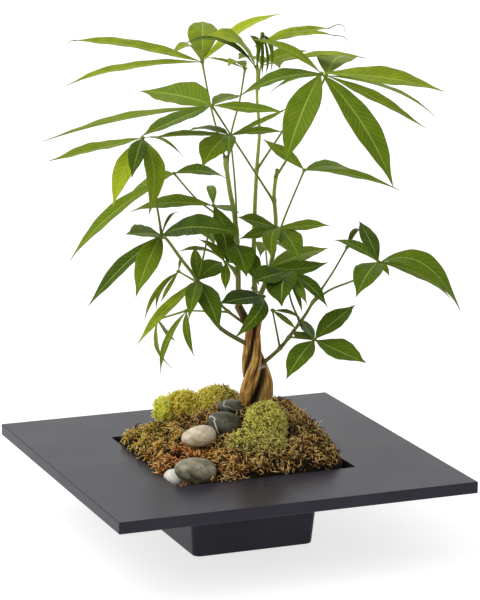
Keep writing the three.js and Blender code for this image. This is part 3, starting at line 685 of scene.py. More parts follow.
# %% Closing two faces into one body
def closed_sheet(upper, lower, marks):
    """A thin body between two grids of points that share their outer points."""
    rows, columns = upper.shape[:2]
    top = np.arange(rows * columns).reshape(rows, columns)
    bottom = top.copy()
    inner = np.arange((rows - 2) * (columns - 2)).reshape(rows - 2, columns - 2)
    bottom[1:-1, 1:-1] = inner + rows * columns
    quads = []
    for grid, order in ((top, 1), (bottom, -1)):
        faces = np.stack([grid[:-1, :-1], grid[1:, :-1], grid[1:, 1:], grid[:-1, 1:]], -1)
        quads.append(faces.reshape(-1, 4)[:, ::order])
    edge = (upper + lower) / 2
    upper = upper.copy()
    for rim in (np.s_[0], np.s_[-1], np.s_[:, 0], np.s_[:, -1]):
        upper[rim] = edge[rim]
    points = np.concatenate([upper.reshape(-1, 3), lower[1:-1, 1:-1].reshape(-1, 3)])
    joined = {
        name: np.concatenate([values.ravel(), values[1:-1, 1:-1].ravel()])
        for name, values in marks.items()
    }
    joined["under"] = np.r_[np.zeros(rows * columns), np.ones(inner.size)]
    return points, np.concatenate(quads), NO_TRIANGLES, joined


trial = np.zeros((4, 5, 3))
print("points of a sheet of 4 by 5:", len(closed_sheet(trial, trial, {})[0]))

# %% [markdown]
# ## Petioles, twigs and knobs
# A petiole is a thin stalk with a swelling at both ends, which is where the leaf turns to the
# light. A green stem is thicker, with a ring at each joint where a leaf grew. Both follow a smooth
# curve through a few given places, and the curve is sampled at even steps. A Bezier curve object
# would need its handles set one by one, so a centripetal spline is used: it passes through every
# place and never makes a loop.

# %% A smooth curve through places
SPAN_SAMPLES = 24  # points from one place to the next, before the even steps are taken


def spline(places, step_mm):
    """Points at even steps along a centripetal spline through the places."""
    places = np.asarray(places, float)
    ends = [2 * places[0] - places[1], 2 * places[-1] - places[-2]]
    around = np.vstack([ends[0], places, ends[1]])
    dense = []
    for a, b, c, d in zip(around, around[1:], around[2:], around[3:]):
        first, middle, last = (
            max(np.linalg.norm(end - start) ** 0.5, 1e-3)
            for start, end in ((a, b), (b, c), (c, d))
        )
        leave = ((b - a) / first - (c - a) / (first + middle) + (c - b) / middle) * middle
        arrive = ((c - b) / middle - (d - b) / (middle + last) + (d - c) / last) * middle
        t = np.linspace(0, 1, SPAN_SAMPLES, endpoint=False)[:, None]
        curve = b + leave * t + (3 * (c - b) - 2 * leave - arrive) * t**2
        dense.append(curve + (2 * (b - c) + leave + arrive) * t**3)
    dense = np.vstack([*dense, places[-1:]])
    length = np.r_[0, np.cumsum(np.linalg.norm(np.diff(dense, axis=0), axis=1))]
    even = np.linspace(0, length[-1], max(4, int(length[-1] / step_mm) + 1))
    return np.stack([np.interp(even, length, dense[:, axis]) for axis in range(3)], -1)


print("points on a curve of 100 mm:", len(spline([[0, 0, 0], [0, 0, 100]], 2.5)))

# %% [markdown]
# A petiole is a tube along such a curve, swollen at its root and at its knob, and the knob is a
# small flattened ball. The leaf finish paints stalk and blade from one material, so the marks of
# these bodies say that they are all stalk.

# %% Petioles and knobs
STALK_STEP_MM = 2.5
PETIOLE_RADIUS, PETIOLE_TAPER = 0.95, 0.25
ROOT_SWELLING, KNOB_SWELLING = 0.55, 0.45
KNOB_SIZE = (1.9, 1.9, 1.5)


def stalk_marks(count, tone):
    """Marks for a body that is all stalk and no blade."""
    marks = {name: np.zeros(count) for name in ("across", "along", "veins", "under")}
    marks["tone"] = np.full(count, tone)
    marks["stalk"] = np.ones(count)
    return marks


def petiole(places, tone):
    """The thin stalk of one leaf."""
    path = spline(places, STALK_STEP_MM)
    share = np.linspace(0, 1, len(path))
    radius = PETIOLE_RADIUS - PETIOLE_TAPER * share + ROOT_SWELLING * np.exp(-share * 18)
    radius = radius + KNOB_SWELLING * np.exp(-(1 - share) * 16)
    points, quads, triangles = tubes(path[None], radius[None], 8)
    return points, quads, triangles, stalk_marks(len(points), tone)


def ball(centre, size, rings=8, sides=12):
    """A closed ellipsoid as points, quads and triangles."""
    turn = np.arange(sides) * 2 * math.pi / sides
    tilt = np.linspace(-1, 1, rings + 2) * math.pi / 2
    tilt[0], tilt[-1] = tilt[0] + 0.02, tilt[-1] - 0.02
    flat = np.cos(tilt)[:, None]
    high = np.broadcast_to(np.sin(tilt)[:, None], (rings + 2, sides))
    place = [flat * np.cos(turn), flat * np.sin(turn), high]
    points, quads, triangles, _ = skin(np.stack(place, -1))
    return points * np.asarray(size) + np.asarray(centre), quads, triangles


def knob(centre, tone):
    """The pale swelling where the leaflets meet."""
    points, quads, triangles = ball(centre, KNOB_SIZE)
    marks = stalk_marks(len(points), tone)
    marks["stalk"] = np.full(len(points), 0.9)
    return points, quads, triangles, marks


print("points of a knob:", len(knob((0, 0, 0), 0.5)[0]))

# %% [markdown]
# ## Leaf green
# The lightest leaves are the young ones at the top, yellow-green, and the old low ones are dark.
# That tone is partly painted light: the top leaves are made lighter for the light that shines
# through them, and the low ones darker for the shade they stand in. On each blade the midrib is a
# pale line, side veins are fainter ones, the skin between them is a little darker, and the
# underside is paler and duller. Painting this would take a picture for each leaf. The marks on the
# mesh already say where the midrib and the side veins are, so the finish works the lines out from
# them and needs no picture. The shine is kept faint and a little green, because a strong white one
# would hide the colour of the leaves that face the lamp.

# %% The finish of leaves and petioles
def leaf_green():
    leaf = Finish("leaf_green", Roughness=0.42)
    leaf.shader.inputs["Specular IOR Level"].default_value = 0.05
    leaf.shader.inputs["Specular Tint"].default_value = (0.85, 1.0, 0.4, 1)
    across = leaf.math("ABSOLUTE", leaf.mark("across"))
    under, stalk, tone = leaf.mark("under"), leaf.mark("stalk"), leaf.mark("tone")
    blotch = leaf.noise(95, detail=4.0)
    # Tone is the leaf's age and painted light: brighter for light through the top leaves, darker for shade
    # on the low ones.
    shade = leaf.math("ADD", tone, leaf.band(blotch, 0.2, 0.8, -0.10, 0.10))
    green = leaf.ramp(
        shade,
        (0.0, screen(42, 64, 18)), (0.25, screen(80, 103, 24)), (0.5, screen(104, 126, 28)),
        (0.75, screen(124, 142, 32)), (1.0, screen(170, 186, 42)),
    )
    phase = leaf.math("FRACT", leaf.mark("veins"))
    off_vein = leaf.math("ABSOLUTE", leaf.math("SUBTRACT", phase, 0.5))
    vein = leaf.band(off_vein, 0.40, 0.49)
    open_blade = leaf.math("MULTIPLY", leaf.band(across, 0.04, 0.14), leaf.band(across, 0.98, 0.8))
    vein = leaf.math("MULTIPLY", vein, open_blade)
    between_veins = leaf.math("MULTIPLY", leaf.band(off_vein, 0.25, 0.02, 0, 0.2), open_blade)
    green = leaf.mix(between_veins, green, screen(26, 48, 14))
    green = leaf.mix(leaf.math("MULTIPLY", vein, 0.13), green, screen(176, 190, 84))
    green = leaf.mix(leaf.band(across, 0.90, 1.0, 0, 0.25), green, screen(150, 164, 52))
    pale = leaf.mix(0.3, green, screen(140, 158, 74))
    green = leaf.mix(under, green, pale)
    midrib = leaf.band(across, 0.075, 0.025, 0, 0.5)
    green = leaf.mix(midrib, green, screen(178, 192, 96))
    stem_green = leaf.ramp(shade, (0.1, screen(92, 104, 38)), (0.9, screen(132, 148, 50)))
    green = leaf.mix(stalk, green, stem_green)
    leaf.bump(leaf.math("MULTIPLY", vein, -1.0), 0.25, 0.6)
    smooth = leaf.band(blotch, 0.3, 0.7, 0.40, 0.50)
    return leaf.done(green, leaf.math("ADD", smooth, leaf.math("MULTIPLY", under, 0.15)))


leaf_finish = leaf_green()
print("nodes of the leaf finish:", len(leaf_finish.node_tree.nodes))

# %% [markdown]
# ## The leafy stems
# Each entry is one stem as it grew: the places it passes through, its radii at the root and at the
# tip, and its leaves. A leaf has its petiole, the place of its knob, and its leaflets, each as
# across, away and up of the tip, then its width. Its arch, its own lean and the place of its
# strongest bend come after that, where they aren't the usual ones. Tone runs from 0, a dark leaf,
# to 1, a bright one, and where the leaflets of a leaf differ it is a list. It holds the leaf's age
# and painted light together: the young top leaves are made brighter for the light through them,
# and the old low ones darker for the shade they stand in. These are the places that the imported
# model has, so every leaf stays where it is.

# %% Places of stems and leaves
SHOOTS = {
    "shoot_left": {
        "strand": "right",
        "stem": [[5, 16, 151], [4, 14, 173], [2, 10, 198], [-2, 6, 220], [-6, 1, 249]],
        "radii": [2.3, 1.8],
        "leaves": [
            {"petiole": [[-4, 3, 240], [-13, 10, 270], [-18, 18, 288]], "hub": [-25, 28, 322],
             "tone": [0.8, 0.82, 0.97, 0.72, 0.78],
             "blades": [[-131, 50, 336, 22, 0.035, [0, -0.22], 0.65],
                        [-135, 5, 305, 22, 0.055, [0, -0.1], 0.6],
                        [40, 66, 357, 15, 0.09, [0, -0.2], 0.55],
                        [-26, 95, 347, 25], [-50, -25, 333, 12, 0.2]]},
            {"petiole": [[-4, 3, 242], [-1, 4, 267], [6, 5, 295]], "hub": [10, 4, 320],
             "tone": [0.7, 0.66],
             "blades": [[-4, -44, 328, 13], [-21, -20, 332, 9, 0.03]]},
            {"petiole": [[4, 14, 176], [3, -5, 215], [0, -40, 258]], "hub": [-2, -62, 276],
             "tone": [0.45, 0.4, 0.6, 0.35, 0.45, 0.62],
             "blades": [[-65, -64, 274, 18, 0.02, [0, -0.1]],
                        [-36, -24, 273, 16, 0.08, [0, -0.05]], [-23, -100, 257, 25],
                        [-2, -112, 267, 11], [42, -56, 278, 16, 0.03, [0, -0.2]],
                        [46, -26, 294, 9, -0.03, [0, -0.1]]]},
            {"petiole": [[3, 13, 182], [-14, 18, 198], [-29, 22, 209]], "hub": [-48, 26, 230],
             "tone": [0.6, 0.5, 0.4],
             "blades": [[-134, 20, 157, 18, 0.07, [0, -0.35], 0.58],
                        [-92, 72, 199, 16, 0.04, [0, -0.8], 0.3], [-5, 65, 219, 16, 0.08, [0, -0.6]]]},
            {"petiole": [[3, 12, 185]], "hub": [-15, -15, 211], "tone": [0.42, 0.5, 0.4, 0.3, 0.2],
             "blades": [[-84, 6, 201, 18, 0.08, [0, -0.45]], [-20, 35, 218, 8],
                        [6, -58, 213, 12, 0.02], [4, -42, 190, 14, -0.12],
                        [-3, 5, 157, 17, 0.1, [-0.1, -0.7], 0.4]]},
            {"petiole": [[4, 15, 158]], "hub": [-5, -15, 164], "tone": [0.6, 0.66, 0.5, 0.45],
             "blades": [[-43, -50, 180, 10, 0.12], [-27, -10, 182, 9, 0.12],
                        [-5, -35, 145, 8, 0.05, [0, -0.8]], [3, 20, 144, 8, 0.05, [0, -0.8]]]},
            {"petiole": [[4, 14, 176]], "hub": [2, -8, 178], "tone": [0.4, 0.3],
             "blades": [[12, -42, 158, 24, 0.1, [0.2, -0.9]], [22, -38, 150, 20, 0.1, [0.5, -0.9]]]},
            {"petiole": [[4, 15, 165]], "hub": [-20, 72, 176], "lean": [-0.1, 0.35], "tone": 0.45,
             "blades": [[-60, 108, 160, 18, 0], [-16, 126, 150, 24]]},
        ],
    },
    "shoot_middle": {
        "strand": "middle",
        "stem": [[18, 12, 169], [18.5, 18, 197], [20, 22, 234], [22, 26, 266], [20, 28, 291],
                 [20, 30, 316]],
        "radii": [2.2, 1.0],
        "leaves": [
            {"petiole": [], "hub": [19, 29, 318], "tone": [0.85, 0.8, 0.2],
             "blades": [[-22, 8, 346, 31, 0.17], [107, -15, 331, 18, 0.055, [0, -0.1], 0.65],
                        [-45, 35, 333, 10, 0.25]]},
            {"petiole": [[20, 30, 316]], "hub": [20, 30, 335], "tone": [0.85, 0.8, 0.3],
             "blades": [[80, 57, 346, 16, 0.06, [0, -0.35], 0.6], [83, 27, 344, 14, 0.08, [0, -0.2], 0.6],
                        [14, 8, 346, 7]]},
            {"petiole": [[20, 30, 334]], "hub": [24, 30, 345], "tone": 0.45, "fold": 1.0,
             "blades": [[21, 22, 323, 4], [24, 30, 310, 4], [27, 38, 310, 4], [31, 46, 311, 4],
                        [33, 50, 321, 4]]},
            {"petiole": [[20, 22, 234]], "hub": [70, -50, 324],
             "tone": [0.5, 0.42, 0.78, 0.38, 0.62],
             "blades": [[41, -95, 258, 26], [126, -90, 240, 24, 0.1, [-0.1, -0.35], 0.55],
                        [167, -60, 311, 26, 0.045, [0, -0.35], 0.55],
                        [5, -58, 306, 22, 0.09, [0, -0.24]], [14, -28, 348, 12, 0.1]]},
            {"petiole": [[17, 7, 138]], "hub": [26, -25, 138], "tone": [0.1, 0.16],
             "blades": [[-10, -70, 142, 20, 0.03, [0, -0.9]], [2, -55, 110, 14, 0.3, [1, -0.35], 0.45]]},
            {"petiole": [[21, 29, 300], [22, 50, 310]], "hub": [24, 80, 314], "lean": [0.1, 0.3],
             "tone": 0.6,
             "blades": [[63, 100, 322, 18, 0.05, [0, -0.35]], [40, 136, 302, 24], [4, 118, 312, 18]]},
        ],
    },
    "shoot_right": {
        "strand": "left",
        "stem": [[31.5, 26, 150], [36, 32, 186], [34.5, 36, 210], [35.5, 38, 222], [37, 40, 232]],
        "radii": [2.3, 1.4],
        "leaves": [
            {"petiole": [[34, 34, 206]], "hub": [-16, -70, 301],
             "tone": [0.55, 0.66, 0.34, 0.45, 0.5],
             "blades": [[-75, -8, 303, 31, 0.03, [0, -0.7], 0.3],
                        [-147, -90, 275, 24, 0.03, [0, 0.02], 0.6],
                        [-69, -130, 286, 20, 0.01, [0, -0.25], 0.55],
                        [7, -10, 300, 16, 0.03], [41, -84, 298, 17, 0, [0, -0.35]]]},
            {"petiole": [[35.5, 38, 225], [43, 33, 238]], "hub": [75, -12, 317],
             "tone": [0.6, 0.62, 0.4, 0.7],
             "blades": [[166, 22, 278, 18, 0.08, [0, -0.12], 0.6],
                        [155, -22, 276, 18, 0.02, [0, -0.25]], [30, 12, 299, 12],
                        [94, 65, 319, 32]]},
            {"petiole": [[34.5, 29, 166], [43, 42, 189]], "hub": [60, 62, 227],
             "tone": [0.6, 0.5, 0.55],
             "blades": [[140, 50, 212, 17, 0.055, [0, -0.15]], [104, 105, 219, 20, 0.06],
                        [25, 95, 248, 14, 0]]},
            {"petiole": [[34.5, 29, 168]], "hub": [37, -5, 191], "tone": [0.5, 0.3, 0.4, 0.46, 0.42],
             "blades": [[79, -30, 198, 14, 0, [0, -0.6]], [4, -22, 203, 16, 0, [0, -0.7]],
                        [6, -7, 182, 13, 0, [0, -0.6]],
                        [55, -50, 172, 20], [32, -50, 174, 16, 0.15, [-0.5, -0.8]]]},
            {"petiole": [[31, 26, 148]], "hub": [31, 8, 155], "tone": [0.55, 0.3],
             "blades": [[81, 60, 161, 22, 0.03], [79, 6, 160, 17, -0.1, [0, -0.7]]]},
            {"petiole": [[30, 25, 142]], "hub": [28, 82, 160], "lean": [0.1, 0.35], "tone": 0.4,
             "blades": [[50, 120, 144, 20], [24, 130, 138, 12]]},
        ],
    },
    "branch_low_left": {
        "stem": [[13, 14, 88.5], [-10, 2, 106], [-22, -6, 126], [-28, -10, 147], [-42, -16, 168],
                 [-52, -20, 183], [-57, -23, 189]],
        "radii": [1.9, 1.2],
        "twigs": [[[11.5, 18.5, 104.5], [-8, 6, 123], [-18, -4, 139], [-28, -11, 148]]],
        "leaves": [
            {"petiole": [], "hub": [-57, -23, 188], "tone": [0.45, 0.2, 0.5, 0.16, 0.4],
             "blades": [[-84, -70, 198, 24, 0.02, [0, -0.8], 0.3], [-116, -40, 132, 17, 0.055],
                        [-76, -70, 147, 20], [6, -75, 200, 24, 0.1, [0, -0.9], 0.45],
                        [-44, 5, 201, 3, 0.2]]},
            {"petiole": [[-57, -22, 189], [-60, -24, 209], [-64, -24, 229]], "hub": [-72, -20, 267],
             "tone": [0.66, 0.98, 0.2, 0.78, 0.5],
             "blades": [[-147, -40, 251, 23, 0, [0, -0.13]], [-95, -45, 215, 17],
                        [-79, -64, 242, 15], [-66, -58, 211, 19, 0.2, [0.6, -0.5]],
                        [-38, -55, 257, 4, 0.15]]},
            {"petiole": [[-27, -11, 150]], "hub": [-19, -20, 189], "tone": 0.4,
             "blades": [[-38, -6, 183, 12]]},
            {"petiole": [], "hub": [-28, -11, 148], "tone": [0.84, 0.3, 0.42, 0.45, 0.3],
             "blades": [[-76, -60, 105, 11, 0.04], [-9, -60, 117, 19], [-34, -70, 129, 14],
                        [-31, 20, 170, 10, 0.03, [0, -0.8]], [-8, 14, 158, 20, 0.1, [0, -0.9]]]},
            {"petiole": [[-29, -11, 147]], "hub": [-44, 10, 151], "tone": 0.8, "fold": 0.9,
             "blades": [[-63, 20, 116, 7], [-72, 0, 112, 7], [-60, 40, 118, 6, -0.02], [-41, 30, 159, 4]]},
            {"petiole": [[-3, 10, 117]], "hub": [-38, 45, 110], "tone": 0.5,
             "blades": [[-31, 20, 76, 7, 0.15, [-0.6, -0.8]], [-60, 50, 53, 8, 0.12, [-0.5, -0.8]]]},
            {"petiole": [[-38, 45, 110]], "hub": [-63, 58, 99], "tone": 0.62,
             "blades": [[-50, 70, 53, 11, 0.14, [-0.8, -0.5]], [-48, 80, 75, 9, -0.05, [0, -0.8]]]},
        ],
    },
    "branch_low_right": {
        "stem": [[22.5, 21.5, 67.5], [40, 8, 87], [51, -2, 104], [60, -10, 119], [66, -15, 131],
                 [72, -18, 142]],
        "radii": [1.8, 1.1],
        "leaves": [
            {"petiole": [[56, -6, 112], [48, -22, 135]], "hub": [44, -35, 161],
             "tone": [0.14, 0.3, 0.16, 0.14, 0.2],
             "blades": [[77, -60, 137, 14, 0.12], [60, -85, 145, 10, 0.04], [57, -50, 129, 5],
                        [40, -80, 142, 27, 0.1, [-0.4, -0.5]],
                        [16, -70, 160, 22, 0, [0, -0.8]]]},
            {"petiole": [[47, 2, 98]], "hub": [67, -45, 107], "tone": [0.3, 0.28, 0.26, 0.24, 0.22],
             "blades": [[101, -10, 128, 20, 0.02], [108, -70, 94, 26, -0.01], [44, -80, 83, 20, 0.06],
                        [49, -15, 108, 12, -0.05], [57, 10, 112, 10, 0]]},
            {"petiole": [[66, -15, 131], [80, -17, 142], [102, -19, 152]], "hub": [119, -20, 166],
             "tone": [0.14, 0.3, 0.36, 0.42, 0.5, 0.5, 0.5],
             "blades": [[105, 30, 190, 14, 0.05], [83, 10, 178, 12], [99, -70, 148, 23],
                        [186, -30, 127, 22, 0.32, [0, -0.6], 0.28], [180, 0, 131, 16, 0.1, [0, -0.5]],
                        [127, -38, 158, 6]]},
            {"petiole": [[72, -18, 141], [84, 5, 154]], "hub": [95, 20, 170], "tone": 0.3, "fold": 0.9,
             "blades": [[107, 50, 179, 8]]},
            {"petiole": [[40, 8, 87]], "hub": [33, -44, 131], "tone": 0.3,
             "blades": [[57, -46, 124, 6], [52, -74, 122, 6, 0.02]]},
        ],
    },
}
leaf_count = sum(len(shoot["leaves"]) for shoot in SHOOTS.values())
print("leafy stems:", len(SHOOTS), "leaves:", leaf_count)

# %% [markdown]
# Each leaf becomes one piece: its petiole, knob and leaflets are one growth, with one finish. A
# piece for each leaflet would bring over a hundred objects, and one for the whole plant couldn't
# be studied leaf by leaf.

# %% Leaves
USUAL_LEAN, USUAL_ARCH, USUAL_PEAK, USUAL_FOLD = [0, -0.35], 0.1, 0.5, 0.2


def leaf_body(petiole_places, hub, blades, tone, lean=USUAL_LEAN, fold=USUAL_FOLD):
    """A whole leaf: its knob, its petiole and its leaflets."""
    centre = np.array(hub, float)
    tones = tone if isinstance(tone, list) else [tone] * len(blades)
    usual = [USUAL_ARCH, lean, USUAL_PEAK]
    bodies = [knob(centre, float(np.mean(tones)))]
    if petiole_places:
        bodies.append(petiole([*petiole_places, hub], float(np.mean(tones))))
    for (across, away, up, width, *habit), own in zip(blades, tones):
        arch, (turned, tipped), peak = habit + usual[len(habit):]
        face = unit(np.array([turned, tipped, 1.0]))
        tip = np.array([across, away, up], float)
        own = own + dice.uniform(-0.04, 0.04)
        bodies.append(leaflet(centre, tip, width, face, arch, peak, fold, own))
    return fuse(bodies)


for shoot, growth in SHOOTS.items():
    for number, parts in enumerate(growth["leaves"], 1):
        parts = dict(parts)
        body = leaf_body(parts.pop("petiole"), **parts)
        make_piece(f"{shoot}_leaf_{number}", body, leaf_finish, [shoot])
print("faces of all leaves:", sum(n for name, n in made_faces.items() if "_leaf_" in name))

# %% [markdown]
# The longest leaflets end in a drip tip that has dried to a thin brown thread, and it curls down
# at the last. Each thread is given by the places it passes, from the leaflet's tip onwards.

# %% Dried drip tips
DRIP_TIPS = {
    "shoot_middle": [
        [[78, 57, 346], [87, 58, 349.5], [92, 60, 347], [92, 62, 343]],
        [[81, 27, 344.5], [90, 27, 343], [95, 28, 339]],
    ],
    "shoot_left": [[[-129, 50, 336.5], [-133, 50, 336], [-136, 50, 334]]],
}


def dry_tip():
    dry = Finish("dry_tip", Roughness=0.7)
    tint = dry.ramp(dry.noise(400), (0.3, screen(92, 84, 62)), (0.7, screen(134, 126, 96)))
    return dry.done(tint)


dry_finish = dry_tip()
for shoot, threads in DRIP_TIPS.items():
    bodies = []
    for thread in threads:
        path = spline(thread, 0.8)
        thinning = np.linspace(0.5, 0.16, len(path))
        points, quads, triangles = tubes(path[None], thinning[None], 6)
        bodies.append((points, quads, triangles, {}))
    make_piece(shoot + "_drip_tips", fuse(bodies), dry_finish, [shoot])


print("threads made:", sum(len(threads) for threads in DRIP_TIPS.values()))

# %% [markdown]
# ## Green stems
# Above the trunk each strand goes on as a green stem. A joint shows as a low swelling with a paler
# ring, where a leaf is or was. Two of the stems were cut above their last leaf, and end in a flat
# brown stub. The stem's radius is worked out along its length, with a bump for each joint, so that
# one tube has them all. The joints aren't listed again: they are where the petioles start.

# %% Stems and twigs
STEM_STEP_MM = 1.4
JOINT_LIFT, JOINT_LENGTH = 0.55, 2.2
JOINT_REACH = 6  # a petiole that starts further off than this belongs to another stem
RIBS, RIB_DEPTH = 5, 0.07
TWIG_RADII = [1.3, 0.9]
CUT_STEMS = {"shoot_left", "shoot_right"}


def stem_body(places, radii, joints, cut, sides=16):
    """A green stem or twig through the places, with a swelling at each joint that is on it."""
    path = spline(places, STEM_STEP_MM)
    share = np.linspace(0, 1, len(path))
    radius = radii[0] + (radii[1] - radii[0]) * share
    ring = np.zeros(len(path))
    for joint in joints:
        off = np.linalg.norm(path - np.array(joint), axis=1)
        if off.min() < JOINT_REACH:
            from_joint = (np.arange(len(path)) - off.argmin()) * STEM_STEP_MM
            ring = np.maximum(ring, np.exp(-((from_joint / JOINT_LENGTH) ** 2)))
    radius = radius + JOINT_LIFT * ring
    around = np.arange(sides) * 2 * math.pi / sides
    ribs = RIB_DEPTH * np.sin(RIBS * around + 0.02 * path[:, 2:]) * radius[:, None] / 2
    radii_all = radius[:, None] + ribs
    points, quads, triangles = tubes(path[None], radii_all[None], sides)
    shape = (1, len(path), sides)
    end = np.clip((share - 1) * len(path) / 2 + 1, 0, 1) if cut else share * 0
    marks = {
        "joint": per_point(ring[None], shape), "height": per_point(path[None, :, 2], shape),
        "stub": per_point(end[None], shape),
    }
    return points, quads, triangles, marks


def green_stem():
    stem = Finish("green_stem", Roughness=0.5)
    streak = stem.noise(230, detail=4.0)
    height = stem.band(stem.mark("height"), 95, 300, 0, 1)
    tint = stem.ramp(
        height,
        (0.0, screen(112, 108, 44)), (0.3, screen(126, 142, 44)), (1.0, screen(154, 172, 54)),
    )
    tint = stem.mix(stem.band(streak, 0.5, 0.75, 0, 0.5), tint, screen(74, 82, 42))
    tint = stem.mix(stem.math("MULTIPLY", stem.mark("joint"), 0.5), tint, screen(150, 150, 92))
    tint = stem.mix(stem.mark("stub"), tint, screen(96, 70, 44))
    stem.bump(streak, 0.15, 0.5)
    return stem.done(tint)


stem_finish = green_stem()
for shoot, growth in SHOOTS.items():
    joints = [(leaf["petiole"] or [leaf["hub"]])[0] for leaf in growth["leaves"]]
    places = growth["stem"]
    if "strand" in growth:
        places = [strand_points(STRAND_START[growth["strand"]], STRAND_TOP).tolist(), *places]
    bodies = [stem_body(places, growth["radii"], joints, shoot in CUT_STEMS)]
    for twig in growth.get("twigs", []):
        bodies.append(stem_body(twig, TWIG_RADII, joints, False))
    make_piece(shoot + "_stem", fuse(bodies), stem_finish, [shoot])
print("stems made:", len(SHOOTS))

# %% [markdown]
# ## Pebbles
# The stones are river pebbles: rounded, a little fuller at one end, never quite regular. A ball
# squashed in three directions would be too perfect, so its points are first pushed out towards a
# soft box, then swollen and dented by slow waves. Each point keeps the mark "stone", its place on
# the ball, so that a pale vein can run right through a stone at a chosen slant.

# %% Pebble bodies
PEBBLES = {
    "pebble_dark_front": {"at": [-28.5, -80, 7], "size": [17.5, 13.5, 10.5], "turn": 6, "tip": 4},
    "pebble_white_front": {"at": [-45, -67, -3.5], "size": [11, 9.5, 7.3], "turn": -60, "tip": 10},
    "pebble_pale": {"at": [-27, -36, 23], "size": [14.5, 11, 8.5], "turn": 5, "tip": -10},
    "pebble_dark_middle": {"at": [-5, -13, 27], "size": [15, 12, 11], "turn": -20, "tip": 12},
    "pebble_dark_back": {"at": [-1, 13, 35], "size": [11, 9.5, 6], "turn": 15, "tip": 5},
}
PEBBLE_TAPER = 0.1
BOXY = 0.05  # how far the ball is pushed out towards a box
DENTS, DENT_DEPTH, DENT_WAVES = 5, 0.016, 2.4
WITHIN_PACKED = 0.985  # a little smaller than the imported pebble, so that no swelling stands out of it


def pebble_axes(stone):
    """Rotation of a pebble: tipped about the level axis, then turned about the upright one."""
    tip = Matrix.Rotation(math.radians(stone["tip"]), 3, "Y")
    turn = Matrix.Rotation(math.radians(stone["turn"]), 3, "Z")
    return np.array(turn @ tip)


def pebble_body(stone, seed):
    """A pebble in its place: a ball made a little boxy, dented, stretched and turned."""
    points, quads, triangles = ball((0, 0, 0), (1, 1, 1), rings=44, sides=72)
    draw = np.random.default_rng(seed)
    points = points * (1 + BOXY * (1 - np.sum(points**4, -1, keepdims=True)))
    for _ in range(DENTS):
        way = unit(draw.normal(size=3))
        wave = np.sin(DENT_WAVES * points @ way + draw.uniform(0, 6))
        points = points * (1 + DENT_DEPTH * wave[:, None])
    marks = {"stone": points.copy()}
    full = 1 + PEBBLE_TAPER * points[:, :1]
    fuller_end = np.hstack([full * 0 + 1, full, full])
    points = points * np.array(stone["size"]) * fuller_end * WITHIN_PACKED
    return points @ pebble_axes(stone).T + np.array(stone["at"]), quads, triangles, marks


print("points of a pebble:", len(pebble_body(PEBBLES["pebble_pale"], 0)[0]))

# %% [markdown]
# Two of the dark stones carry a thin pale vein, and the front one is olive grey, thickly freckled
# with a pale grey. The white one is nearly plain, and the quartz has a few brown freckles. All are
# dry but smooth, so they have a soft shine. One builder makes every finish from a body colour, a
# vein and an amount of freckles.

# %% Stone finishes and the five pebbles
def stone(name, dark, light, freckle=0.0, freckle_tint=(190, 188, 178), vein=None, roughness=0.45):
    """A stone's finish. A vein is its slant, its distance from the middle and its half width."""
    finish = Finish(name, Roughness=roughness)
    place = finish.mark("stone", "Vector")
    cloud = finish.noise(2.2, place, detail=6.0)
    grit = finish.noise(13, place, detail=5.0)
    tint = finish.ramp(cloud, (0.36, screen(*dark)), (0.64, screen(*light)))
    tint = finish.mix(finish.band(grit, 0.42, 0.7, 0, 0.5), tint, screen(*light))
    if freckle:
        spots = finish.band(finish.noise(17, place, detail=5.0), 0.52, 0.66, 0, freckle)
        crowded = finish.band(finish.noise(1.5, place), 0.42, 0.6, 0.1, 1)
        spots = finish.math("MULTIPLY", spots, crowded)
        tint = finish.mix(spots, tint, screen(*freckle_tint))
    if vein:
        way, middle, half = vein
        depth = finish.node("VectorMath", {0: place, 1: way}, operation="DOT_PRODUCT").outputs["Value"]
        depth = finish.math("ADD", depth, finish.band(cloud, 0.3, 0.7, -0.08, 0.08))
        off = finish.math("ABSOLUTE", finish.math("SUBTRACT", depth, middle))
        tint = finish.mix(finish.band(off, half, half * 0.4, 0, 0.9), tint, screen(206, 204, 194))
    finish.bump(grit, 0.35, 0.5)
    return finish.done(tint, finish.band(grit, 0.3, 0.7, roughness - 0.06, roughness + 0.12))


STONE_FINISHES = {
    "pebble_dark_front": stone("stone_freckled", (60, 58, 42), (150, 142, 112), freckle=0.9),
    "pebble_white_front": stone("stone_white", (196, 192, 182), (226, 224, 216), roughness=0.5),
    "pebble_pale": stone(
        "stone_quartz", (176, 154, 124), (224, 210, 184),
        freckle=0.5, freckle_tint=(150, 116, 88), roughness=0.5,
    ),
    "pebble_dark_middle": stone(
        "stone_veined", (34, 35, 24), (72, 70, 48),
        freckle=0.35, vein=((-0.72, -0.62, -0.3), 0.74, 0.055),
    ),
    "pebble_dark_back": stone(
        "stone_grey", (42, 42, 32), (84, 84, 66),
        freckle=0.3, vein=((0.2, -0.5, 0.8), 0.62, 0.035),
    ),
}
for seed, (name, shape) in enumerate(PEBBLES.items()):
    make_piece(name + "_stone", pebble_body(shape, seed), STONE_FINISHES[name], [name])
print("pebbles made:", len(PEBBLES))

# %% [markdown]
# ## The bed of moss
# Sheet moss is a mat of brown and golden strands, mounded up to the trunk and a little hollow where
# the front pebbles lie. What you see is mostly strands with dark gaps between them, where the shade
# falls. So the mat has two layers: a felt with the shape of the bed, painted near black as the
# shade in those gaps, and thousands of curled strands on top of it.

# %% The felt under the strands, painted dark as shade
MOSS_EDGE = 77.4
MOSS_CORNERS = 6  # power of the outline: 2 is a circle, and higher ones are squarer
MOUND_AT, MOUND_RISE, MOUND_ACROSS = (20, 26), 33, 80
MOUND_BACK, MOUND_FRONT = 68, 76  # how far the mound reaches behind and before its top
HOLLOW_AT, HOLLOW_DEPTH, HOLLOW_REACH = (-40, -80), 11, 17
FELT_SINK = 1.4  # depth of the felt under the surface that the strands start from
FELT_INNER = 0.985  # share of the outline where its upright edge stops
ABOVE_SOIL = 0.4


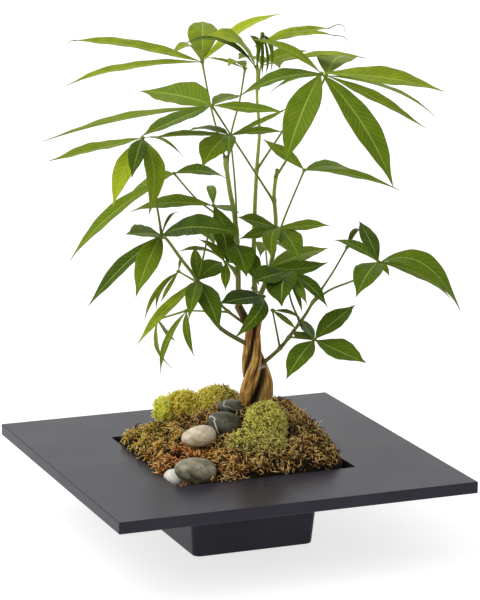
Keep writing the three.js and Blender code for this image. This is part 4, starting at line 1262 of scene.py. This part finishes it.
def edge_share(across, away):
    """How far out a place is: 0 at the middle of the opening, 1 at the edge of the moss."""
    x, y = np.moveaxis(to_model(np.stack([across, away, across * 0], -1)), -1, 0)[:2]
    return (np.abs(x) ** MOSS_CORNERS + np.abs(y) ** MOSS_CORNERS) ** (1 / MOSS_CORNERS) / MOSS_EDGE


def hump(across, away, at, reach_across, reach_away):
    """A smooth hump of height 1 over a place, which fades over the two reaches."""
    return np.exp(-(((across - at[0]) / reach_across) ** 2) - ((away - at[1]) / reach_away) ** 2)


def moss_height(across, away):
    """Height of the moss over the rim."""
    share = np.clip(edge_share(across, away), 0, 1)
    reach = np.where(away > MOUND_AT[1], MOUND_BACK, MOUND_FRONT)
    mound = MOUND_RISE * hump(across, away, MOUND_AT, MOUND_ACROSS, reach)
    lumps = 1.8 * np.sin(across / 4.6 + 1) * np.sin(away / 5.3) + 1.2 * np.sin(across / 2.9 + away / 7)
    hollow = HOLLOW_DEPTH * hump(across, away, HOLLOW_AT, HOLLOW_REACH, HOLLOW_REACH)
    return 1.5 + (mound + lumps) * (1 - share**12) - hollow


def felt_body(sides=160):
    """The felt: rings that follow the mat's surface, closed by one just above the soil."""
    angle = np.arange(sides) * 2 * math.pi / sides
    cos, sin = np.cos(angle), np.sin(angle)
    square = (np.abs(cos) ** MOSS_CORNERS + np.abs(sin) ** MOSS_CORNERS) ** (-1 / MOSS_CORNERS)
    rings = []
    for share in np.r_[1, np.linspace(FELT_INNER, 0.03, 46)]:
        x, y = share * MOSS_EDGE * square * cos, share * MOSS_EDGE * square * sin
        across, away = x * TURN_COS + y * TURN_SIN, y * TURN_COS - x * TURN_SIN
        up = moss_height(across, away) - FELT_SINK + 0.5 * crumble(x, y, 6.5) * (share <= FELT_INNER)
        rings.append(np.stack([across, away, up], -1))
    under = rings[0].copy()
    under[:, 2] = SOIL_TOP - RIM_TOP + ABOVE_SOIL
    points, quads, triangles, _ = skin([under * [FELT_INNER, FELT_INNER, 1], *rings])
    # All its marks say fully shaded and at the foot, so the felt takes the mat's painted shade at full
    # strength.
    marks = {name: np.zeros(len(points)) for name in ("patch", "shade", "along")}
    marks["brown"] = np.ones(len(points))
    return points, quads, triangles, marks


print("moss over the rim at its top:", round(float(moss_height(*MOUND_AT)), 1), "mm")

# %% [markdown]
# ## Strands of moss
# The mat must leave out what lies on it: five pebbles, three cushions of green moss, and the trunk.
# Each pebble or lobe of a cushion is a stretched ball, and a place is inside one if it comes to less
# than 1 from the middle when it is measured in the ball's own half sizes. That is one line of
# arithmetic for all strands at once, where a test against the real meshes would take minutes.

# %% What the strands must keep out of
# Lobes of each cushion: the middle, then the half sizes.
CUSHIONS = {
    "moss_mound_green": [
        ([28, -19, 25], [17, 16, 22]), ([29, -38, 15], [16, 12, 12]), ([11, -37, 16], [14, 13, 12]),
    ],
    "moss_clump_yellow": [([-12, 47, 26], [20, 17, 17]), ([-40, 44, 25], [19, 15, 14])],
    "moss_tuft_lime": [([-57, 38, 26], [9, 9, 10])],
}


def solid(at, size, axes=np.eye(3)):
    """A stretched ball: its middle, its half sizes and the directions they lie in."""
    return np.array(at, float), np.array(size, float), axes


SOLID_PEBBLES = [solid(shape["at"], shape["size"], pebble_axes(shape)) for shape in PEBBLES.values()]
SOLID_CUSHIONS = [solid(*lobe) for lobes in CUSHIONS.values() for lobe in lobes]


def inside_solids(places, lobes, margin=1.0):
    """Whether each place is inside one of the pebbles or cushions, grown by margin, or the trunk."""
    inside = np.zeros(places.shape[:-1], bool)
    for at, size, axes in lobes:
        inside |= np.sum((((places - at) @ axes) / (size * margin)) ** 2, -1) < 1
    for start in STRAND_START.values():
        middle = strand_points(start, places[..., 2])
        inside |= np.linalg.norm(places - middle, axis=-1) < between(STRAND_RADIUS, places[..., 2])
    return inside


print("balls to keep out of:", len(SOLID_PEBBLES) + len(SOLID_CUSHIONS))

# %% [markdown]
# A strand starts on the felt, sets off in a chance direction and keeps bending the same way with
# some wobble, so it curls. If it climbs too far above the mat it is turned back down. Blender's
# hair could do this, but its strands don't export as solid shapes. All strands take each step
# together, which keeps the sum short. Where one reaches over the rim it lies on top of it.

# %% Growing curled strands
WOBBLE, TURN_BACK = 0.25, 0.5
LOWEST = -0.2  # how far below the mat's surface a strand may dip


def grow_strands(roots, way, draw, steps, step_mm, curl, ceiling=None):
    """Paths that start at the roots and curl as they go: (count, steps, 3)."""
    place, way = roots.copy(), unit(way)
    spin = unit(draw.normal(size=roots.shape)) * draw.uniform(0.3, 1, (len(roots), 1)) * curl
    step_mm = step_mm * draw.uniform(0.7, 1.3, (len(roots), 1))
    paths = [place.copy()]
    for _ in range(steps - 1):
        way = unit(way + np.cross(spin, way) + WOBBLE * draw.normal(size=way.shape))
        place = place + way * step_mm
        if ceiling is not None:
            over = place[:, 2] - moss_height(place[:, 0], place[:, 1])
            way[:, 2] -= np.clip(over - ceiling[:, 0], 0, 3) * TURN_BACK
            way[:, 2] += np.clip(LOWEST - over, 0, 3) * TURN_BACK
        paths.append(place.copy())
    return np.stack(paths, 1)


def keep_off_rim(paths, radius):
    """Lift the strands that reach over the rim, so that they lie on top of it."""
    across, away = paths[..., 0], paths[..., 1]
    x, y = across * TURN_COS - away * TURN_SIN, across * TURN_SIN + away * TURN_COS
    out = np.maximum(np.abs(x), np.abs(y)) > OPENING_HALF - 0.8
    paths[..., 2] = np.where(out, np.maximum(paths[..., 2], radius + 0.1), paths[..., 2])
    return paths


trial = grow_strands(np.zeros((1, 3)), np.eye(3)[2:], np.random.default_rng(1), 7, 1.5, 0.9)
print("a strand that sets off upwards ends at", trial[0, -1].round(1))

# %% [markdown]
# The mat isn't one brown. Near the front it is rusty, with an orange patch by the pale pebble, the
# left corner is ochre and olive, and the right side is brown with straw-coloured tips. A few named
# patches say where each colour is strongest, and every strand takes the colour of the patches
# around it with some chance added.

# %% Colour patches of the bed
# Each patch: across, away, reach, colour (0 rust, 0.25 orange, 0.5 gold, 0.75 ochre, 1 olive), brown.
MOSS_PATCHES = [
    (-92, 36, 24, 0.6, 0.0), (-72, 10, 24, 0.78, 0.05), (-62, -30, 20, 0.5, 0.4),
    (-50, -40, 17, 0.02, 0.1), (-38, -58, 14, 0.1, 0.05), (-20, -58, 12, 0.38, 0.05),
    (-8, -62, 12, 0.3, 0.3), (-50, -78, 16, 0.15, 0.7), (-5, -78, 18, 0.3, 0.75),
    (20, -66, 16, 0.45, 0.6), (45, -52, 18, 0.5, 0.8), (70, -42, 20, 0.35, 0.8),
    (92, -34, 20, 0.5, 0.65), (50, -5, 18, 0.3, 0.95), (75, 5, 22, 0.55, 0.7),
    (60, 40, 24, 0.35, 0.85), (30, 70, 26, 0.55, 0.8), (-10, 60, 22, 0.7, 0.7),
    (-60, 60, 20, 0.9, 0.4), (0, 20, 16, 0.4, 1.0), (-40, 10, 18, 0.35, 0.8),
    (43, 96, 18, 0.5, 0.6),
]
PATCH_BLUR = 5
COLOUR_CHANCE, BROWN_CHANCE = 0.12, 0.22


def patch_colour(across, away, draw):
    """Colour and brownness of strands at those places."""
    across = across + draw.normal(size=across.shape) * PATCH_BLUR
    away = away + draw.normal(size=away.shape) * PATCH_BLUR
    weight, colour, brown = 1e-6, 0.0, 0.0
    for at_across, at_away, reach, own, own_brown in MOSS_PATCHES:
        near = np.exp(-(((across - at_across) ** 2 + (away - at_away) ** 2) / reach**2) * 1.5)
        weight, colour, brown = weight + near, colour + near * own, brown + near * own_brown
    count = across.shape
    colour = colour / weight + draw.normal(size=count) * COLOUR_CHANCE
    brown = brown / weight + draw.normal(size=count) * BROWN_CHANCE
    return np.clip(colour, 0, 1), np.clip(brown, 0, 1)


print("colour patches:", len(MOSS_PATCHES))

# %% [markdown]
# Sheet moss isn't an even pile. Its strands stand in tufts that spread from one foot. Some tufts
# are taller than their neighbours, and some are paler, as they get less of the painted shade, with
# dark gaps between them. So feet are strewn over the opening by chance, and each one gets a few
# strands that lean away from it. A strand has only three sides, because it is about a millimetre
# thick and there are thousands of them.

# %% Tufts of strands
moss_dice = np.random.default_rng(23)
BED_TUFTS, TUFT_STRANDS = 640, 9
BED_REACH = 106  # half the side of the turned square in which the feet are strewn
SPARE_FEET = 3  # feet strewn for each one needed, as many fall outside the opening
FOOT_LIMIT, REACH_LIMIT = 0.975, 1.06  # how far out a foot and a strand may be, by edge_share
FOOT_SPREAD, FOOT_DEPTH = 1.2, 0.8
BED_STEPS, BED_STEP_MM, BED_CURL = 7, 1.5, 0.9


def strand_tubes(paths, radius, taper, marks):
    """Three-sided tubes for the strands, thinner towards the tip, with their marks."""
    count, steps = paths.shape[:2]
    share = np.linspace(0, 1, steps)
    radii = radius[:, None] * (1 - taper * share**2)
    points, quads, triangles = tubes(paths, radii, 3)
    shape = (count, steps, 3)
    made = {name: per_point(values, shape) for name, values in marks.items()}
    made["along"] = per_point(np.broadcast_to(share, (count, steps)), shape)
    return points, quads, triangles, made


def bed_strands(tufts, each, draw):
    """Tufts of strands that spread from one foot, some taller than others and some paler, with less
    painted shade.
    """
    across, away = draw.uniform(-BED_REACH, BED_REACH, (2, tufts * SPARE_FEET))
    kept = edge_share(across, away) < FOOT_LIMIT
    foot = np.repeat(np.stack([across[kept][:tufts], away[kept][:tufts]], -1), each, 0)
    spread = draw.normal(size=foot.shape) * FOOT_SPREAD
    roots = np.column_stack([foot + spread, moss_height(*(foot + spread).T) - FOOT_DEPTH])
    way = np.column_stack([spread * 0.8, np.full(len(foot), 0.9)])
    way = way + draw.normal(size=roots.shape) * [0.6, 0.6, 0.3]
    ceiling = np.repeat(draw.gamma(2.0, 1.7, (tufts, 1)) + 0.2, each, 0)[: len(roots)]
    paths = grow_strands(roots, way, draw, BED_STEPS, BED_STEP_MM, BED_CURL, ceiling)
    radius = draw.uniform(0.3, 0.55, len(paths))
    # Each tuft's shift of the shade mark: a pale tuft gets less of the painted shade.
    pale = np.repeat(draw.normal(-0.06, 0.3, tufts), each)[: len(roots)]
    shade = np.clip(draw.beta(2, 2.2, len(paths)) + pale, 0, 1)
    clear = ~inside_solids(paths, SOLID_PEBBLES + SOLID_CUSHIONS, 0.99).any(1)
    clear &= edge_share(paths[..., 0], paths[..., 1]).max(1) < REACH_LIMIT
    paths, radius, shade = paths[clear], radius[clear], shade[clear]
    paths = keep_off_rim(paths, radius[:, None])
    colour, brown = patch_colour(paths[:, 0, 0], paths[:, 0, 1], draw)
    return paths, radius, {"patch": colour, "brown": brown, "shade": shade}


print("strands tried for each layer:", BED_TUFTS * TUFT_STRANDS)

# %% [markdown]
# One finish serves the whole mat. The marks on each strand say which colour it has, how brown and
# how shaded it is, and how far along it a point is. The finish paints light and shade into the
# colour: a painted shade darkens the feet and the shaded strands, and a painted highlight makes
# the tips pale where they would catch the light. One number sets how strong the painted shade is,
# because dense dry moss has black gaps and soft living moss hardly any.

# %% The moss finish and the strands of the bed
BED_LAYERS = 2  # pieces of strands, one grown through the other


def mat_moss(name, tints, browns, tip, painted_shade):
    """Moss from the stops of its colours, the painted highlight of its tips and the strength of its
    painted shade.
    """
    moss = Finish(name, Roughness=0.9)
    moss.shader.inputs["Specular IOR Level"].default_value = 0.2
    tint = moss.ramp(moss.mark("patch"), *tints)
    shade = moss.math("ADD", moss.mark("shade"), moss.band(moss.noise(300), 0.3, 0.7, -0.12, 0.12))
    # The browns follow the shade mark too, so a shaded strand is also a darker brown: painted shade.
    tint = moss.mix(moss.mark("brown"), tint, moss.ramp(shade, *browns))
    # Painted shade: strands with a low shade mark are darkened towards black.
    lit = moss.ramp(
        shade, (0.0, screen(18, 12, 8)), (0.24, screen(96, 82, 66)), (0.48, screen(255, 255, 255)),
    )
    tint = moss.mix(painted_shade, tint, lit, blend="MULTIPLY")
    along = moss.mark("along")
    # Painted shade at the feet of the strands, deep in the mat.
    tint = moss.mix(moss.band(along, 0.55, 0.1, 0, 0.88 * painted_shade), tint, screen(26, 14, 6))
    # Painted highlight: pale tips on the strands that are not in the painted shade.
    tip_light = moss.band(shade, 0.25, 0.75, 0.1, 0.95)
    pale = moss.math("MULTIPLY", moss.band(along, 0.45, 0.8), tip_light)
    tint = moss.mix(pale, tint, tip)
    moss.bump(moss.noise(900), 0.2, 0.5)
    return moss.done(tint)


sheet_moss = mat_moss(
    "sheet_moss",
    [(0.0, screen(236, 84, 24)), (0.25, screen(250, 146, 32)), (0.5, screen(255, 204, 66)),
     (0.75, screen(252, 214, 76)), (1.0, screen(226, 212, 72))],
    [(0.1, screen(92, 36, 18)), (0.5, screen(184, 104, 50)), (0.9, screen(255, 224, 156))],
    # the colour of the painted highlight on the tips
    screen(255, 230, 150),
    painted_shade=1.0,
)
make_piece("moss_bed_felt", felt_body(), sheet_moss, ["moss_bed"])
for number in range(1, BED_LAYERS + 1):
    paths, radius, marks = bed_strands(BED_TUFTS, TUFT_STRANDS, moss_dice)
    body = strand_tubes(paths, radius, 0.5, marks)
    make_piece(f"moss_bed_strands_{number}", body, sheet_moss, ["moss_bed"])
    print("strands in layer", number, "of the bed:", len(paths))

# %% [markdown]
# ## Cushions of green moss
# Three cushions of living moss sit on the bed: a dense bright green mound in front of the trunk, a
# wide looser yellow-green clump at the back left, and a small lime tuft beside it. Each has a lumpy
# core, which takes the full painted shade of its finish, and short shoots all over it that point
# outwards. The shoots are spread over the core by chance, and those that would start or end inside
# a neighbour are left out.

# %% Cores of the cushions
LUMP_DEPTH, LUMP_COUNT = 0.09, 6
CORE_IN, ROOTS_IN = -1.2, -1.6  # where the core's skin and the roots are, from the lobe's own skin


def cushion_surface(lobe, directions, grow):
    """Points of a lobe's lumpy skin in those directions, moved out by grow."""
    at, size, _ = solid(*lobe)
    lump = np.sin(LUMP_COUNT * directions[:, 0] + at[0]) * np.sin(LUMP_COUNT * directions[:, 1] + at[1])
    scale = 1 + LUMP_DEPTH * lump * np.sin(LUMP_COUNT * directions[:, 2])
    return at + directions * (scale[:, None] * size + grow)


def cushion_core(lobes):
    """The lumpy lobes of one cushion as one body."""
    bodies = []
    for lobe in lobes:
        points, quads, triangles = ball((0, 0, 0), (1, 1, 1), rings=30, sides=48)
        points = cushion_surface(lobe, unit(points), CORE_IN)
        # All marks zero: the core takes its finish's painted shade at full strength.
        marks = {name: np.zeros(len(points)) for name in ("patch", "shade", "along", "brown")}
        bodies.append((points, quads, triangles, marks))
    return fuse(bodies)


print("lobes in the cushions:", len(SOLID_CUSHIONS))

# %% [markdown]
# The shoots of a cushion start just inside its skin and point the way its lobe bulges. The lobe's
# area gives their number, and chance gives their places, because an even spacing looks combed.

# %% Shoots of the cushions
def cushion_shoots(lobes, others, draw, per_mm2, length, steps, curl, spread, thick):
    """Paths and thickness of shoots that stand on the lobes, clear of the other bodies."""
    roots, ways = [], []
    for lobe in lobes:
        size = np.array(lobe[1], float)
        area = 4 * math.pi * (np.prod(size) ** (2 / 3))
        directions = unit(draw.normal(size=(int(area * per_mm2), 3)))
        roots.append(cushion_surface(lobe, directions, ROOTS_IN))
        ways.append(unit(directions / size) + spread * draw.normal(size=directions.shape))
    roots, ways = np.concatenate(roots), np.concatenate(ways)
    bare = roots[:, 2] > moss_height(roots[:, 0], roots[:, 1]) - 2.5
    own = [solid(*lobe) for lobe in lobes]
    bare &= ~inside_solids(roots, own, 0.84) & ~inside_solids(roots, others, 0.97)
    roots, ways = roots[bare], ways[bare]
    paths = grow_strands(roots, ways, draw, steps, length / (steps - 1), curl)
    clear = ~inside_solids(paths, others, 0.97).any(1)
    paths = paths[clear]
    return paths, draw.uniform(*thick, len(paths))


# %% [markdown]
# All three take the finish of the bed, only with greener colours and less painted shade. Each one
# turns browner in one direction: the mound and the tuft towards the bed, the clump towards its
# right side. The clump also leaves room for the tuft, which stands at its left edge.

# %% Green, yellow and lime moss
GREEN_BROWNS = [(0.1, screen(84, 58, 24)), (0.5, screen(160, 120, 56)), (0.95, screen(232, 204, 128))]
TINT_STOPS = (0.0, 0.4, 0.75, 1.0)
GREEN_TINTS = {
    "moss_mound_green": [(186, 166, 44), (228, 210, 50), (246, 234, 74), (255, 248, 116)],
    "moss_clump_yellow": [(220, 172, 36), (240, 212, 44), (250, 236, 64), (255, 250, 110)],
    "moss_tuft_lime": [(228, 226, 36), (244, 246, 60), (252, 254, 96), (255, 255, 140)],
}
# For each cushion: shoots per square millimetre, length, steps, curl, spread, thickness range.
SHOOT_HABITS = {
    "moss_mound_green": (1.7, 4.0, 5, 0.8, 0.5, (0.3, 0.5)),
    "moss_clump_yellow": (1.2, 5.4, 6, 0.9, 0.6, (0.32, 0.52)),
    "moss_tuft_lime": (2.6, 4.8, 6, 0.7, 0.5, (0.3, 0.46)),
}
# How strongly each cushion's finish paints shade into its feet and shaded shoots.
PAINTED_SHADE = {"moss_mound_green": 0.8, "moss_clump_yellow": 0.25, "moss_tuft_lime": 0.05}
# Where each cushion turns brown: along axis 0 (across) or 2 (up), from this place, over this reach.
TURNS_BROWN = {
    "moss_mound_green": (2, 36, -24),
    "moss_clump_yellow": (0, -16, 14),
    "moss_tuft_lime": (2, 14, -10),
}
MOST_BROWN = 0.85
TUFT_ROOM = 1.3  # how much larger than the tuft is the room that the clump leaves for it
# Lifts the lime tuft's shade mark, so it gets less painted shade and more painted highlight on its tips.
LIGHTER = {"moss_tuft_lime": 1.5}
for name, lobes in CUSHIONS.items():
    others = list(SOLID_PEBBLES)
    if name == "moss_clump_yellow":
        others += [solid(at, np.array(size) * TUFT_ROOM) for at, size in CUSHIONS["moss_tuft_lime"]]
    tints = [(stop, screen(*tint)) for stop, tint in zip(TINT_STOPS, GREEN_TINTS[name])]
    finish_name = name.removeprefix("moss_") + "_moss"
    # screen(255, 255, 150) is the colour of the painted highlight on the tips.
    finish = mat_moss(finish_name, tints, GREEN_BROWNS, screen(255, 255, 150), PAINTED_SHADE[name])
    make_piece(name + "_core", cushion_core(lobes), finish, [name])
    paths, radius = cushion_shoots(lobes, others, moss_dice, *SHOOT_HABITS[name])
    count = len(paths)
    axis, start, reach = TURNS_BROWN[name]
    dull = np.clip((paths[:, 0, axis] - start) / reach, 0, MOST_BROWN)
    marks = {
        "patch": np.clip(moss_dice.normal(0.5, 0.25, count), 0, 1),
        "brown": np.clip(moss_dice.normal(0.1, 0.2, count) + dull, 0, 1),
        "shade": moss_dice.beta(1.8, 1.6, count) * LIGHTER.get(name, 1),
    }
    body = strand_tubes(paths, radius, 0.4, marks)
    make_piece(name + "_shoots", body, finish, [name])
    print(name, "shoots:", count)

# %% [markdown]
# ## Room and light
# The object stands on a light table: the floor glows a little itself, so shadows on it are faint
# and the foot gets light from below. Lamps under the table would do that too, but would need a
# top that lets light through.

# %% Floor
FLOOR_GLOW = 0.74
FLOOR_HALF = 14  # in metres, so that its edge is far outside the picture
FLOOR_GREYS = (0.0, (0.40, 0.40, 0.40, 1)), (1.0, (0.42, 0.42, 0.42, 1))


def pale_floor():
    floor = Finish("pale_floor", Roughness=0.9, Emission_Strength=FLOOR_GLOW)
    floor.shader.inputs["Specular IOR Level"].default_value = 0.1
    floor.shader.inputs["Emission Color"].default_value = (1, 1, 1, 1)
    return floor.done(floor.ramp(floor.noise(3), *FLOOR_GREYS))


corners = [(FLOOR_HALF * x, FLOOR_HALF * y, 0) for x, y in ((-1, -1), (1, -1), (1, 1), (-1, 1))]
floor_mesh = bpy.data.meshes.new("floor")
floor_mesh.from_pydata(corners, [], [(0, 1, 2, 3)])
floor_mesh.materials.append(pale_floor())
floor = bpy.data.objects.new("floor", floor_mesh)
bpy.context.scene.collection.objects.link(floor)
print("floor:", 2 * FLOOR_HALF, "m square")

# %% [markdown]
# The room is a light tent, dimmer behind the viewer than at the back, and that bright back wall is
# what the flat rim mirrors. Two broad lamps at the left, one behind and one in front, give the
# leaves their shine and the trunk its round shape. Wide sun lamps do that without a visible edge,
# and need no aiming when the camera goes round the object.

# %% Light tent and lamps
TENT_BACK = (0.37, 0.93, 0)
world = bpy.data.worlds.new("light_tent")
bpy.context.scene.world = world
world.use_nodes = True


def light_tent(tree, front, back, top):
    """Walls of the tent: dimmest at the front, brightest at the back, and even overhead."""
    place = tree.nodes.new("ShaderNodeTexCoord").outputs["Generated"]
    reach = tree.nodes.new("ShaderNodeVectorMath")
    reach.operation = "DOT_PRODUCT"
    reach.inputs[1].default_value = TENT_BACK
    wall = tree.nodes.new("ShaderNodeMapRange")
    height = tree.nodes.new("ShaderNodeSeparateXYZ")
    roof = tree.nodes.new("ShaderNodeMapRange")
    tree.links.new(place, reach.inputs[0])
    tree.links.new(place, height.inputs[0])
    tree.links.new(reach.outputs["Value"], wall.inputs["Value"])
    for name, value in {"From Min": -0.6, "From Max": 0.8, "To Min": front, "To Max": back}.items():
        wall.inputs[name].default_value = value
    tree.links.new(height.outputs["Z"], roof.inputs["Value"])
    for name, value in {"From Min": 0.35, "From Max": 0.9, "To Max": top}.items():
        roof.inputs[name].default_value = value
    tree.links.new(wall.outputs[0], roof.inputs["To Min"])
    tree.nodes["Background"].inputs["Color"].default_value = (1, 1, 1, 1)
    tree.links.new(roof.outputs[0], tree.nodes["Background"].inputs["Strength"])


light_tent(world.node_tree, front=0.18, back=1.15, top=0.8)


def sun(name, strength, width_degrees, azimuth, elevation):
    """A broad sun lamp that shines from that azimuth, counted from the front to the left."""
    lamp = bpy.data.lights.new(name, "SUN")
    lamp.energy = strength
    lamp.angle = math.radians(width_degrees)
    made = bpy.data.objects.new(name, lamp)
    bpy.context.scene.collection.objects.link(made)
    made.rotation_euler = (math.radians(90 - elevation), 0, math.radians(-azimuth))
    return made


sun("key_back_left", 0.9, 45, 118, 55)
sun("fill_left", 1.1, 50, 68, 38)
bpy.context.scene.view_settings.view_transform = "Standard"
print("lamps:", len(bpy.data.lights))

# %% [markdown]
# ## Camera
# The camera looks down a little, from over the dish's front corner, with a long lens. Its place,
# its three angles and the focal length were found together, by fitting the seven corners of the rim
# that a viewer sees. A camera aimed by a tracking constraint couldn't keep its slight roll.

# %% Camera
CAMERA_AT = (-0.80391, -2.01065, 0.68660)
CAMERA_TURN, CAMERA_DOWN, CAMERA_ROLL = -21.9715, 12.6803, 0.2572  # degrees
FOCAL_LENGTH_PX, FRAME_HEIGHT_PX, SENSOR = 2703.06, 600, 36

camera_data = bpy.data.cameras.new("camera")
camera_data.sensor_width = SENSOR
camera_data.lens = SENSOR * FOCAL_LENGTH_PX / FRAME_HEIGHT_PX
camera_data.clip_end = 60
camera = bpy.data.objects.new("camera", camera_data)
turn = Matrix.Rotation(math.radians(CAMERA_TURN), 4, "Z")
tilt = Matrix.Rotation(math.radians(90 - CAMERA_DOWN), 4, "X")
roll = Matrix.Rotation(math.radians(CAMERA_ROLL), 4, "Z")
camera.matrix_world = Matrix.Translation(CAMERA_AT) @ turn @ tilt @ roll
bpy.context.scene.collection.objects.link(camera)
bpy.context.scene.camera = camera
print("lens:", round(camera_data.lens, 1), "mm")

# %% [markdown]
# The dressed object is built to the size of the imported one. Last, the faces of all its pieces
# are counted.

# %% Faces of the dressed object
print("faces in all:", sum(made_faces.values()))
